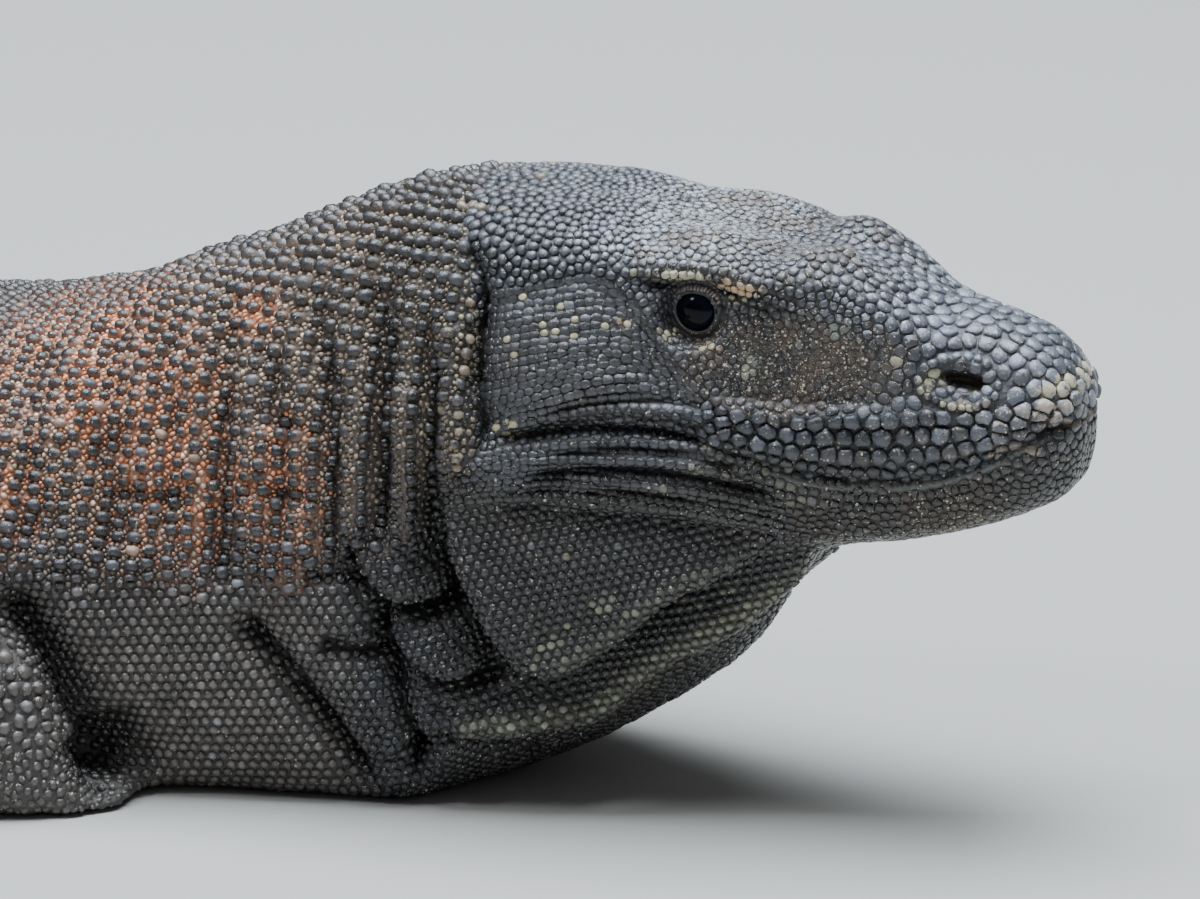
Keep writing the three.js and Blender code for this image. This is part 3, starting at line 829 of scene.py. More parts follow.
def thinned(points, spacing, fixed=np.empty((0, 3)), fixed_spacing=np.empty(0)):
    """Which points are kept, in order: those not too near to one already kept or to a fixed one."""
    spacing = np.broadcast_to(spacing, len(points))
    cell = float(max(spacing.max(), fixed_spacing.max() if len(fixed_spacing) else 0))
    grid = {}

    def key_of(p):
        return int(p[0] // cell), int(p[1] // cell), int(p[2] // cell)

    for p, s in zip(fixed.tolist(), fixed_spacing.tolist()):
        grid.setdefault(key_of(p), []).append((*p, s))
    kept = []
    around = [(i, j, k) for i in (-1, 0, 1) for j in (-1, 0, 1) for k in (-1, 0, 1)]
    for n, (p, s) in enumerate(zip(points.tolist(), spacing.tolist())):
        x, y, z = key_of(p)
        free = True
        for i, j, k in around:
            for qx, qy, qz, t in grid.get((x + i, y + j, z + k), ()):
                reach = SPACING_SHARE * (s + t)
                if (p[0] - qx) ** 2 + (p[1] - qy) ** 2 + (p[2] - qz) ** 2 < reach * reach:
                    free = False
                    break
            if not free:
                break
        if free:
            grid.setdefault((x, y, z), []).append((*p, s))
            kept.append(n)
    return np.array(kept)


def evened(seeds, fixed, cloud, rounds):
    """Moves seeds to the middle of the cloud points that lie nearest to them, so that they pack evenly."""
    for _ in range(rounds):
        tree = point_tree(np.concatenate([seeds, fixed]))
        owner = np.array([tree.find(p)[1] for p in cloud.tolist()])
        mine = owner < len(seeds)
        count = np.bincount(owner[mine], minlength=len(seeds))
        middle = summed(owner[mine], cloud[mine], len(seeds)) / np.maximum(count, 1)[:, None]
        seeds = np.where(count[:, None] > 2, middle, seeds)
    return seeds


AREA_DRAWS = 10  # points drawn only to have the area
CANDIDATES = 10  # random points for each seed
SEED_AREA = 0.8  # skin for each seed, as a share of the square of its spacing


def filled(surface, chosen, spacing_of, fixed, fixed_spacing, rounds=3):
    """Evenly packed scale seeds over the chosen triangles, at a spacing that varies from place to place."""
    typical = np.median(spacing_of(surface.places[surface.faces[chosen][:, 0]], None))
    area = sample_faces(surface, chosen, AREA_DRAWS)[2]
    count = int(CANDIDATES * area / (SEED_AREA * typical**2))
    points, index, _ = sample_faces(surface, chosen, count)
    spacing = spacing_of(body_places(points), surface.normals[surface.faces[index, 0]])
    kept = thinned(points, spacing, fixed, fixed_spacing)
    return surface.landed(evened(points[kept], fixed, points, rounds))


def cad_tree(names):
    points, faces = together(cad_mesh(name) for name in names)
    return BVHTree.FromPolygons(points.tolist(), faces.tolist())


LIMB_WORDS = ("arm", "hand", "thigh", "shin", "foot")
LIMB_NODES = [name for name in HIDE_NODES if any(word in name for word in LIMB_WORDS)]
TRUNK_NODES = [name for name in HIDE_NODES if name not in LIMB_NODES]
limb_tree = cad_tree(LIMB_NODES)
trunk_tree = cad_tree(TRUNK_NODES)
LIMB_MARGIN = 0.5  # how much nearer to a limb's solid than to the body's a point of the limb lies


def on_limb(points):
    trees = (limb_tree, trunk_tree)
    limb, body = (np.array([tree.find_nearest(p)[3] for p in points.tolist()]) for tree in trees)
    return limb < body - LIMB_MARGIN


RING_RAYS = 180
RING_MIDDLE = 0.42  # height of a ring's middle, as a share of the height of the back there
BACK_STEP = 10  # the back's height is found at this distance along the midline, from points this near to it
BACK_WIDTH = 12
RING_JITTER = (0.05, 0.25)  # unevenness round the body, as a share of the spacing, and along it
NAPE_WIDER = 0.34  # the scales of the nape are this share further apart round the body than those below it


def nape_fade(along):
    """1 on the neck's front part, falling to 0 towards the shoulders."""
    return smoothstep(360, 280, along)


def ring_lattice(surface, start, end, step_of, pitch_of, keep):
    """Scale seeds in rings round the body, each ring shifted by half a scale from the last."""
    bins = np.arange(0, TAIL_END + 2 * BACK_STEP, BACK_STEP)
    which = np.digitize(surface.places[:, 0], bins)
    high = np.zeros(len(bins) + 1)
    middle = np.abs(surface.places[:, 1]) < BACK_WIDTH
    np.maximum.at(high, which[middle], surface.places[middle, 2])
    angles = np.linspace(-math.pi, math.pi, RING_RAYS + 1)
    origins, ways = [], []
    along = start
    count = 0
    while along < end:
        back = np.interp(along, bins - BACK_STEP / 2, high[:-1])
        centre = body_points((along, 0, RING_MIDDLE * back))
        leftward = body_directions(np.array([along]))[1]
        way = np.sin(angles)[:, None] * leftward + np.cos(angles)[:, None] * (0, 0, 1)
        ring, _, found = surface.rays(np.repeat(centre, len(way), 0), way)
        lengths = np.linalg.norm(np.diff(ring, axis=0), axis=1)
        lengths = np.minimum(lengths, 4 * np.median(lengths))
        nape = smoothstep(0.45, 0.85, np.cos(angles[found][1:])) * nape_fade(along)
        arc = np.r_[0, np.cumsum(lengths / (1 + NAPE_WIDER * nape))]
        arc -= np.interp(0, angles[found], arc)
        pitch = pitch_of(along)
        phase = 0.5 * (count % 2)
        first = math.ceil(arc[0] / pitch - phase)
        last = math.floor(arc[-1] / pitch - phase)
        marks = (np.arange(first, last + 1) + phase) * pitch
        marks = marks + chance.normal(0, RING_JITTER[0] * pitch, len(marks))
        turned = np.interp(marks, arc, angles[found])
        origins.append(np.repeat(centre, len(turned), 0))
        ways.append(np.sin(turned)[:, None] * leftward + np.cos(turned)[:, None] * (0, 0, 1))
        along += step_of(along)
        count += 1
    origins, ways = np.concatenate(origins), np.concatenate(ways)
    origins = origins + tail_way(origins) * chance.normal(0, RING_JITTER[1], len(origins))[:, None]
    spots, normals, _ = surface.rays(origins, ways)
    good = keep(body_places(spots)) & ~on_limb(spots)
    return spots[good], normals[good]


# ---------------------------------------------------------------- scales as mesh
def scale_rings(sides, profile):
    """Triangles of one scale: rings of points from a profile, and a last point on top."""
    faces = []
    last, top = (len(profile) - 1) * sides, len(profile) * sides
    for r in range(len(profile) - 1):
        for k in range(sides):
            a, b = r * sides + k, r * sides + (k + 1) % sides
            faces += [(a, b, a + sides), (b, b + sides, a + sides)]
    for k in range(sides):
        faces.append((last + k, last + (k + 1) % sides, top))
    return np.array(faces)


# Profiles from the root up: share of the outline, share of the height. The root is sunk in the skin.
PLATE = [(1.0, -0.5), (0.985, 0.4), (0.83, 0.85)]
DOME = [(1.0, -0.5), (0.92, 0.42), (0.62, 0.86)]
PLAIN_DOME = [(1.0, -0.6), (0.78, 0.62)]
GRAIN = [(1.0, -0.25), (0.7, 0.6)]
PATCH = 0.003  # size of one scale's patch on the flat map
MOST_TRIANGLES = 190000  # in one piece
LOWEST = 0.1  # no scale reaches into the floor


class Coat:
    """Scales that are made alike: seeds with their directions, sizes and colours."""

    FIELDS = ("spot", "normal", "way", "long", "wide", "height", "fill", "lean", "colour", "rim")

    def __init__(
        self, spot, normal, way, long, wide, height, fill=0.97, lean=0.0, colour=(0, 0, 0), rim=(0, 0, 0, 0)
    ):
        """long and wide are half lengths along and across way. fill is the share of the free room that a
        scale takes, lean how far its top slides along way, and rim its foot's own colour and how much."""
        count = len(spot)
        self.spot = spot
        self.normal = normal
        self.way = unit(way - (way * normal).sum(1, keepdims=True) * normal)
        self.long, self.wide, self.height, self.fill, self.lean = (
            np.broadcast_to(value, count).astype(float) for value in (long, wide, height, fill, lean)
        )
        self.colour = np.broadcast_to(colour, (count, 3)).astype(float)
        self.rim = np.broadcast_to(rim, (count, 4)).astype(float)

    def part(self, chosen):
        piece = Coat.__new__(Coat)
        for field in self.FIELDS:
            setattr(piece, field, getattr(self, field)[chosen])
        return piece

    def __len__(self):
        return len(self.spot)


def joined(coats):
    whole = Coat.__new__(Coat)
    for field in Coat.FIELDS:
        setattr(whole, field, np.concatenate([getattr(coat, field) for coat in coats]))
    return whole


NEIGHBOURS = 9
UNLIMITED = 99.0


def free_reach(coat, others, directions):
    """How far each scale may reach in each direction before it meets its neighbours halfway."""
    tree = point_tree(others)
    near = np.array([[hit[1] for hit in tree.find_n(p, NEIGHBOURS + 1)] for p in coat.spot.tolist()])
    offset = others[near] - coat.spot[:, None]
    offset -= (offset * coat.normal[:, None]).sum(2, keepdims=True) * coat.normal[:, None]
    length = (offset**2).sum(2)
    reach = np.full(directions.shape[:2], UNLIMITED)
    for k in range(NEIGHBOURS + 1):
        toward = (directions * offset[:, k][:, None]).sum(2)
        square = length[:, k][:, None]
        real = (square > 0.2) & (toward > 0.05 * np.sqrt(square))
        reach = np.minimum(reach, np.where(real, square / 2 / np.maximum(toward, 1e-6), UNLIMITED))
    return reach


SQUARENESS = 2.3  # of a scale's outline: 2 is an ellipse
LIMIT_POWER = 6  # how sharply an outline gives way where it meets its neighbours
RAGGEDNESS = 0.05
# Painted shade and light on each scale: its root is painted dark and its top painted lighter.
ROOT_SHADE = 0.4  # how dark scales are at the root, just above it, and on top
FOOT_SHADE = 0.66
RISE_SHADE = 0.34  # how much lighter they get from there up
TOP_PAINTED_LIGHT = 1.08
RIM_RISE = (0.8, 0.2)  # a rim's colour starts at the first share of the height, and is full at the second


def scale_arrays(coat, others, sides, profile):
    """Points, triangles, colours and map places of all the scales in a coat."""
    count = len(coat)
    angles = turns_round(sides)
    across = np.cross(coat.normal, coat.way)
    ways = np.cos(angles)[None, :, None] * coat.way[:, None] + np.sin(angles)[None, :, None] * across[:, None]
    oval = np.abs(np.cos(angles)[None] / coat.long[:, None]) ** SQUARENESS
    oval = (oval + np.abs(np.sin(angles)[None] / coat.wide[:, None]) ** SQUARENESS) ** (-1 / SQUARENESS)
    reach = free_reach(coat, others, ways) * coat.fill[:, None]
    outline = (oval**-LIMIT_POWER + reach**-LIMIT_POWER) ** (-1 / LIMIT_POWER)
    outline = outline * chance.normal(1, RAGGEDNESS, oval.shape)
    rings = []
    for share, rise in profile:
        side = ways * (outline * share)[:, :, None]
        lift = np.maximum(rise, 0) * coat.height + np.minimum(rise, 0)
        lift = lift[:, None, None] * coat.normal[:, None]
        slide = (coat.lean * coat.height * max(rise, 0))[:, None, None] * coat.way[:, None]
        rings.append(coat.spot[:, None] + side + lift + slide)
    top = coat.spot + coat.normal * coat.height[:, None] + coat.way * (coat.lean * coat.height)[:, None]
    points = np.concatenate([*rings, top[:, None]], 1)
    points[..., 2] = np.maximum(points[..., 2], LOWEST)
    template = scale_rings(sides, profile)
    faces = template[None] + (np.arange(count) * points.shape[1])[:, None, None]
    # Painted shade at each scale's root, and painted light rising towards its top.
    shade = [ROOT_SHADE] + [FOOT_SHADE + RISE_SHADE * max(rise, 0) for _, rise in profile[1:]]
    shades = np.concatenate([np.repeat(shade, sides), [TOP_PAINTED_LIGHT]])
    foot = np.concatenate([np.repeat([smoothstep(*RIM_RISE, rise) for _, rise in profile], sides), [0]])
    rim = (coat.rim[:, None, :3] - coat.colour[:, None]) * coat.rim[:, None, 3:] * foot[None, :, None]
    colours = (coat.colour[:, None] + rim) * shades[None, :, None]
    dirt = np.repeat(dirt_on(body_places(coat.spot)), len(shades))[:, None]
    colours = np.concatenate([colours.reshape(-1, 3), dirt], 1)
    pale = smears_and_shade_on(body_places(points.reshape(-1, 3)))
    pale[:, 3] *= np.tile(np.minimum(shades, 1), count)
    flat = [np.stack([np.cos(angles) * share, np.sin(angles) * share], -1) for share, _ in profile]
    flat = np.concatenate([*flat, np.zeros((1, 2))])
    return points.reshape(-1, 3), faces.reshape(-1, 3), colours, pale, flat * PATCH / 2


def add_scales(name, coat, others, sides, profile, material):
    """Makes a coat into as many pieces as its number of triangles needs, from front to back. others are the
    seeds of all scales that may touch it."""
    per_scale = len(scale_rings(sides, profile))
    pieces = math.ceil(len(coat) * per_scale / MOST_TRIANGLES)
    order = np.argsort(body_places(coat.spot)[:, 0], kind="stable")
    for n, chosen in enumerate(np.array_split(order, pieces)):
        part = coat.part(chosen)
        points, faces, colours, pale, flat = scale_arrays(part, others, sides, profile)
        full_name = name if pieces == 1 else f"{name}_{n + 1}"
        mesh = new_mesh(full_name, points, faces)
        add_colours(mesh, colours, pale)
        add_map(mesh, map_places(part.spot, part.normal), flat, faces)
        new_piece(full_name, mesh)
        mesh.materials.append(material)


def add_colours(mesh, colours, pale=None):
    """Stores red, green, blue and the amount of dirt at each point, and the same for the smears, pale ones
    and painted shade.
    """
    for name, values in (("hide_colour", colours), ("smear_and_shade_colour", pale)):
        if values is not None:
            attribute = mesh.color_attributes.new(name, "FLOAT_COLOR", "POINT")
            attribute.data.foreach_set("color", values.astype(np.float32).ravel())


def map_places(spots, normals):
    """Places of scale roots on a flat map: back along the body, and round it from belly to back to belly."""
    places = body_places(spots)
    leftward = body_directions(places[:, 0])[1]
    span = places[:, 0].max() - places[:, 0].min() + 1e-6
    tilt = np.arctan2((normals * leftward).sum(1), normals[:, 2])
    reach = np.arctan2(places[:, 1], places[:, 2] - 0.4 * places[:, 2].max())
    around = 0.5 * reach + 0.5 * tilt
    u = (places[:, 0] - places[:, 0].min()) / span
    v = (around - around.min()) / (np.ptp(around) + 1e-6)
    return PATCH + (1 - 2 * PATCH) * np.stack([u, v], -1)


def add_map(mesh, roots, flat, faces):
    places = (roots[:, None] + flat[None]).reshape(-1, 2)
    layer = mesh.uv_layers.new(name="OFBake")
    layer.data.foreach_set("uv", places[faces.ravel()].astype(np.float32).ravel())


# ---------------------------------------------------------------- markings
def srgb(red, green, blue):
    """A colour given in 0-255 screen values, as the linear values that shaders use."""
    value = np.array([red, green, blue]) / 255
    return np.where(value <= 0.04045, value / 12.92, ((value + 0.055) / 1.055) ** 2.4)


SLATE = srgb(64, 67, 74)
# SNOUT and CROWN are partly the hide's own paler tone and partly painted sky light, taken where the head
# faces up.
SNOUT = srgb(104, 109, 121)
CROWN = srgb(100, 103, 112)
TEMPLE = srgb(68, 68, 72)
LORE = srgb(35, 31, 29)
LABIAL = srgb(58, 62, 70)
# JAW and THROAT, and CHIN and LOWER_JAW below, are partly the hide's own dark tone and partly painted shade
# of the underside.
JAW = srgb(25, 24, 22)
THROAT = srgb(55, 54, 56)
NECK = srgb(46, 47, 53)
CHEST = srgb(104, 98, 94)
BODY = srgb(78, 73, 69)
BELLY = srgb(96, 90, 79)
FOOT = srgb(78, 74, 70)
NECK_SKIN = srgb(140, 120, 106)
GRANULE = srgb(200, 172, 150)
ORANGE = srgb(243, 158, 110)
SALMON = srgb(234, 196, 174)
CREAM = srgb(222, 212, 174)
PINK = srgb(208, 192, 176)
TAN = srgb(178, 160, 134)
YELLOW = srgb(226, 214, 172)
AMBER = srgb(222, 184, 142)
GREEN_CREAM = srgb(160, 162, 138)
DUST = srgb(192, 198, 206)
PALE_GREEN = srgb(150, 165, 150)
LIP = srgb(104, 110, 105)
NOSTRIL_FLOOR = srgb(96, 90, 66)
LID = srgb(150, 136, 130)
LID_SKIN = srgb(64, 65, 70)
DIRT = srgb(128, 106, 90)
# Painted shade in the mouth's slit and under the chin.
CREVICE_SHADE = srgb(44, 30, 23)
CHIN = srgb(30, 26, 23)
LOWER_JAW = srgb(46, 43, 40)

# Patches: (along, up), reach (along, up), colour, share of the scales there that have it.
PATCHES = [
    ((48, 162), (4, 6), GREEN_CREAM, 0.5),
    ((37, 156.5), (9, 1.8), PINK, 0.5),
    ((62, 172), (3, 4), CREAM, 0.3),
    ((80, 180), (3, 3), PALE_GREEN, 0.3),
    ((109, 168.8), (2.3, 2.3), PALE_GREEN, 1),
    ((110.2, 164.8), (1.8, 1.8), GREEN_CREAM, 1),
    ((136, 195.4), (11, 2.0), YELLOW, 0.5),
    ((113, 192.6), (9, 2.6), AMBER, 0.5),
    ((115, 188.6), (4, 2.2), CREAM, 0.4),
    ((138, 174.6), (2.6, 2.4), CREAM, 0.35),
    ((123.5, 171.6), (3, 1.6), CREAM, 0.35),
    ((190, 142), (5, 4), YELLOW, 0.4),
    ((207, 172), (3.5, 14), TAN, 0.3),
    ((206, 140), (6, 14), TAN, 0.25),
    ((210, 210), (12, 8), TAN, 0.04),
    ((168, 96), (5, 3), CREAM, 0.14),
    ((45, 108), (28, 7), CREAM, 0.05),
    ((95, 152), (26, 6), GREEN_CREAM, 0.02),
    ((100, 124), (40, 8), GREEN_CREAM, 0.07),
    ((140, 78), (26, 5), GREEN_CREAM, 0.16),
    ((180, 60), (20, 16), GREEN_CREAM, 0.08),
]
# Single pale scales on the temple: along, up.
TEMPLE_SPOTS = [
    *[(186, 186), (173, 185), (178, 176.5), (175, 176), (167, 179), (168, 175.5)],
    *[(182.5, 179), (192, 172.5), (186, 169.5), (188.5, 167), (158.5, 178), (152, 179.5)],
]
TEMPLE_SPOT_SIZE = 1.5
# Smears that run on from scale to scale, pale ones and three of painted shade in the mouth's slit and under
# the chin: (along, up), reach (along, up), colour, thickness.
SMEARS = [
    ((7, 161), (8, 6), CREAM, 0.6),
    ((9, 155), (10, 6), PINK, 0.56),
    ((14, 158), (16, 12), PINK, 0.34),
    ((22, 150), (14, 9), PINK, 0.3),
    ((4, 148), (7, 1.5), CREVICE_SHADE, 1.0),
    ((18, 142.2), (9, 1.4), CREVICE_SHADE, 0.9),
    ((32, 118), (30, 16), CREVICE_SHADE, 0.5),
    ((46, 147), (22, 7), PINK, 0.22),
    ((26, 138), (26, 8), TAN, 0.3),
    ((49, 163.5), (5, 6), CREAM, 0.55),
    ((38, 156.4), (11, 2.4), CREAM, 0.55),
    ((84, 147), (34, 9), GREEN_CREAM, 0.16),
    ((118, 132), (26, 8), GREEN_CREAM, 0.3),
    ((138, 206), (42, 11), DUST, 0.46),
    ((70, 188), (38, 14), DUST, 0.34),
    ((40, 176), (24, 8), DUST, 0.3),
    ((135, 195.8), (12, 2.4), YELLOW, 0.75),
    ((113, 192.8), (9, 3.2), AMBER, 0.8),
    ((115, 188.6), (5, 2.8), CREAM, 0.6),
    ((138, 174.4), (7, 3), CREAM, 0.4),
    ((124, 171.6), (6, 2.2), AMBER, 0.45),
    ((152, 179.5), (3, 2), AMBER, 0.5),
    ((213, 211), (11, 7), PINK, 0.2),
    ((206, 168), (5, 18), TAN, 0.4),
    ((206, 140), (7, 16), TAN, 0.45),
    ((189, 141), (6, 5), YELLOW, 0.4),
    ((150, 56), (40, 20), GREEN_CREAM, 0.24),
    ((120, 84), (40, 9), GREEN_CREAM, 0.24),
]
# Where the neck is orange: (along, up), reach (along, up), strength.
ORANGE_AREAS = [
    ((308, 112), (25, 30), 1.0),
    ((330, 140), (34, 24), 0.95),
    ((268, 108), (16, 30), 0.5),
    ((288, 167), (12, 9), 0.8),
    ((354, 158), (32, 13), 0.95),
    ((376, 140), (26, 28), 0.95),
    ((374, 104), (24, 20), 0.85),
    ((412, 126), (34, 42), 0.4),
    ((450, 118), (38, 46), 0.16),
]
# Lines of paler scales: points (along, up), half width, share and colour.
PALE_LINES = [
    (PALE_RIDGE, 5.2, 0.9, GREEN_CREAM),
    ([(172, 56), (160, 64), (151, 71), (142, 80), (130, 88), (113, 95), (100, 99)], 2.6, 0.6, GREEN_CREAM),
]
# Where dirt lies: (along, up), reach (along, up), amount. LEAST_DIRT is everywhere.
DIRT_AREAS = [
    ((94, 168), (38, 18), 1.15),
    ((110, 205), (50, 11), 0.85),
    ((60, 112), (60, 18), 0.45),
    ((25, 150), (20, 10), 0.4),
    ((70, 145), (60, 14), 0.24),
]
LEAST_DIRT = 0.13

# In the functions below, numbers compared with along and up are places on the animal, and those compared with
# normals are how far the skin faces up or sideways. The numbers before them are shares.


def near_spot(places, spot, reach):
    """1 at a place seen from the side, falling to 0 beyond a reach back and up."""
    away = ((places[:, 0] - spot[0]) / reach[0]) ** 2 + ((places[:, 2] - spot[1]) / reach[1]) ** 2
    return np.exp(-(away**2))


def smears_and_shade_on(places):
    """Colour of the smears at each place, pale ones and painted shade, and how thick they lie."""
    colour = np.zeros((len(places), 3))
    total = np.full(len(places), 1e-6)
    thickest = np.zeros(len(places))
    for spot, reach, pale, amount in SMEARS:
        weight = amount * near_spot(places, spot, reach)
        colour += weight[:, None] * pale
        total += weight
        thickest = np.maximum(thickest, weight)
    return np.concatenate([colour / total[:, None], thickest[:, None]], 1)


def strongest(places, areas, least):
    """The most that any of the areas gives to each place."""
    amount = np.full(len(places), least)
    for spot, reach, strength in areas:
        amount = np.maximum(amount, strength * near_spot(places, spot, reach))
    return amount


def orange_share(places):
    share = strongest(places, ORANGE_AREAS, 0.0)
    patchy = 0.72 + 0.42 * ripples(places * (1, 0.3, 0.5), 26)
    return np.clip(share * patchy, 0, 1) * (places[:, 0] > 235)


def dirt_on(places):
    amount = strongest(places, DIRT_AREAS, LEAST_DIRT)
    return np.clip(amount * (1 + 0.35 * ripples(places, 30)), 0, 1)


def mixed(colour, other, share):
    return colour + (other - colour) * np.clip(share, 0, 1)[:, None]


def ground_colour(places, normals):
    """The hide's colour before spots: by region, with the belly paler, the upward-facing snout and crown
    partly painted lighter as sky light, and the lower jaw, jaw, chin and throat partly painted darker as
    shade.
    """
    along, _, up = places.T
    upward = normals[:, 2]
    colour = np.tile(SLATE, (len(places), 1))
    # Painted light, in part: the snout's and crown's upward-facing scales are paler and bluer, partly their
    # own tone and partly painted sky light on the top of the head.
    front = 1 - smoothstep(50, 88, along)
    colour = mixed(colour, SNOUT, front * smoothstep(0.05, 0.5, upward))
    colour = mixed(colour, SNOUT, 0.75 * (1 - smoothstep(14, 52, along)) * smoothstep(126, 150, up))
    colour = mixed(colour, CROWN, smoothstep(0.3, 0.75, upward) * (1 - front) * (up > 150))
    colour = mixed(colour, TEMPLE, near_spot(places, (168, 165), (34, 24)))
    colour = mixed(colour, LORE, near_spot(places, (95, 168), (37, 17)))
    colour = mixed(colour, LABIAL, near_spot(places, (84, 142), (42, 12)))
    # Painted shade, in part: the lower jaw, the jaw, the chin and the throat are painted darker than their
    # own tone, for the shade beneath the head.
    below_mouth = np.interp(along, *np.array(MOUTH).T) - up
    colour = mixed(colour, LOWER_JAW, 0.85 * smoothstep(-0.5, 1.5, below_mouth) * (along < MOUTH[-1][0]))
    colour = mixed(colour, JAW, 1 - smoothstep(118, 130, up))
    colour = mixed(colour, CHIN, near_spot(places, (32, 112), (46, 20)) * (up < 130))
    colour = mixed(colour, THROAT, 1 - smoothstep(98, 114, up))
    nape = smoothstep(0.35, 0.8, upward)
    colour = mixed(colour, NECK, smoothstep(203 - 20 * nape, 215 + 40 * nape, along))
    colour = mixed(colour, CHEST, smoothstep(235, 255, along) * (1 - smoothstep(66, 88, up)))
    colour = mixed(colour, BODY, smoothstep(370, 480, along))
    return mixed(colour, BELLY, smoothstep(0.2, 0.9, -upward) * smoothstep(300, 500, along))


def on_temple_spot(flat):
    return np.any([np.hypot(*(flat - spot).T) < TEMPLE_SPOT_SIZE for spot in TEMPLE_SPOTS], axis=0)


GROUND_TINT = 0.4  # how much of a patch's colour the skin between its scales takes
PICKED_TINT = 0.95  # and how much the scales take that luck picks for it
SPOT_TINTS = (0.3, 0.9)  # the same for the single pale scales


def spotted(colour, places, only_ground=False):
    """Adds the patches of differently coloured scales. Skin between scales (only_ground) is tinted."""
    flat = places[:, [0, 2]]
    luck = chance.random(len(places))

    def picked(weight):
        if only_ground:
            return GROUND_TINT * weight
        return PICKED_TINT * smoothstep(luck - 0.18, luck + 0.12, weight) * (weight > 0.02)

    for spot, reach, patch, share in PATCHES:
        colour = mixed(colour, patch, picked(share * near_spot(places, spot, reach)))
    colour[on_temple_spot(flat)] = CREAM * SPOT_TINTS[0 if only_ground else 1]
    for line, width, share, pale in PALE_LINES:
        near = near_line(flat, line)
        distance = beside_line(flat[near], line)[0]
        weight = np.zeros(len(flat))
        weight[near] = share * np.exp(-((distance / width) ** 4))
        colour = mixed(colour, pale, weight * (0.35 + 0.65 * luck**2))
    return colour


def unevenness(count, spread=0.16):
    return np.exp(chance.normal(0, spread, count))[:, None]


WORN_SHARES = (0.03, 0.1)  # share of the scales that are worn, and how many more of them on the snout
WEAR = (0.05, 0.25)  # least and most


def worn(colour, places):
    """A few scales here and there rubbed pale, more of them on the snout."""
    share = WORN_SHARES[0] + WORN_SHARES[1] * smoothstep(90, 40, places[:, 0])
    lucky = chance.random(len(places)) < share
    return mixed(colour, DUST, lucky * chance.uniform(*WEAR, len(places)))


# Painted shade: how much darker the undersides of the head and the throat are painted.
UNDERSIDE_SHADE = 0.62


def painted_underside_shade(places, normals):
    """The undersides of the head and the throat are painted darker, as painted shade."""
    ahead = smoothstep(300, 230, places[:, 0])
    return 1 - UNDERSIDE_SHADE * ahead * smoothstep(0.15, -0.65, normals[:, 2])


# Painted shade: how much darker scales, beads and skin are painted at the bottom of a fold.
SCALE_FOLD_SHADE = 0.86
BEAD_FOLD_SHADE = 0.82
SKIN_FOLD_SHADE = 0.85


def scale_colour(places, normals, spread=0.2):
    """Colours of whole scales. spread is how much they differ from one to the next."""
    colour = worn(spotted(ground_colour(places, normals), places), places)
    # Uneven tone of the hide, times painted shade on the undersides. The next line adds painted shade at the
    # bottom of folds.
    blotch_and_shade = painted_underside_shade(places, normals) * (1 + 0.2 * ripples(places, 70) + 0.14 * ripples(places * 1.7, 23))
    shade = blotch_and_shade * (1 - SCALE_FOLD_SHADE * surface.sunk_at(body_points(places)))
    spread = spread + 0.1 * smoothstep(125, 75, places[:, 0])
    return colour * unevenness(len(places), spread) * shade[:, None]


def on_lip(places):
    """How much a place belongs to the bare pale edge of the lower lip."""
    flat = places[:, [0, 2]]
    share = np.zeros(len(flat))
    near = near_line(flat, LIP_EDGE)
    share[near] = 1 - smoothstep(0.6, 1.2, beside_line(flat[near], LIP_EDGE)[0])
    return share


def skin_colour(places, normals):
    """Skin between the scales: darker than them on the head, partly its own tone and partly painted shade in
    the gaps, and paler on the neck and body.
    """
    # Painted shade, in part: the skin in the gaps between scales is darkened to about a third of the scales'
    # colour.
    colour = 0.34 * spotted(ground_colour(places, normals), places, True)
    on_neck = smoothstep(204, 224, places[:, 0]) * smoothstep(70, 110, places[:, 2])
    colour = mixed(colour, NECK_SKIN * 0.34, on_neck)
    colour = mixed(colour, NECK_SKIN * 0.4, smoothstep(400, 560, places[:, 0]))
    bare = 1 - 0.4 * smoothstep(350, 400, places[:, 0])
    colour = mixed(colour, ORANGE * 0.8, orange_share(places) * bare)
    colour = mixed(colour, LIP, on_lip(places))
    ring, up = nostril_ring(places)
    colour = mixed(colour, NOSTRIL_FLOOR * 0.6, (ring < 1.15) * smoothstep(0.3, -0.4, up))
    for side_name in SIDES:
        back, rise, out = eye_place(places, side_name)
        lid = (1 - smoothstep(9.6, 10.6, np.hypot(back, rise))) * (out > -8)
        colour = mixed(colour, LID_SKIN, lid)
    # Painted shade on the undersides and at the bottom of folds, times an uneven tone.
    shade = painted_underside_shade(places, normals) * (1 + 0.2 * ripples(places, 45)) * (1 - SKIN_FOLD_SHADE * surface.sunk)
    return colour * shade[:, None]


# ---------------------------------------------------------------- the coat, region by region
def neck_start(up):
    """How far back the head's own scales reach: to the groove behind the temple, and further on top."""
    ups = [112, 126, 138, 152, 178, 191, 199, 207, 214]
    return np.interp(up, ups, [208, 204, 201, 202, 205, 206.5, 210, 215, 219])


# Distance between scale middles on the head, in millimetres, and how it changes by region.
HEAD_SPACING = 3.0
SNOUT_WIDER = 3.2
TIP_NARROWER = 0.8
CROWN_WIDER = 1.5
BACK_WIDER = 1.2
BROW_WIDER = 0.6
LORE_NARROWER = 0.5
# Round the nostril and the eye: up to how far away, the spacing at the middle, and its growth with distance.
NOSTRIL_SPACING = (19, 2.2, 0.2)
EYE_SPACING = (17, 1.0, 0.13)
# Height of the head's scales as a share of their spacing, and how it changes by region.
HEAD_HEIGHT = 0.24
BACK_HIGHER = 0.16
BROW_HIGHER = 0.1
LORE_LOWER = 0.13
SIDE_LOWER = 0.06  # on the temple, and again on the snout


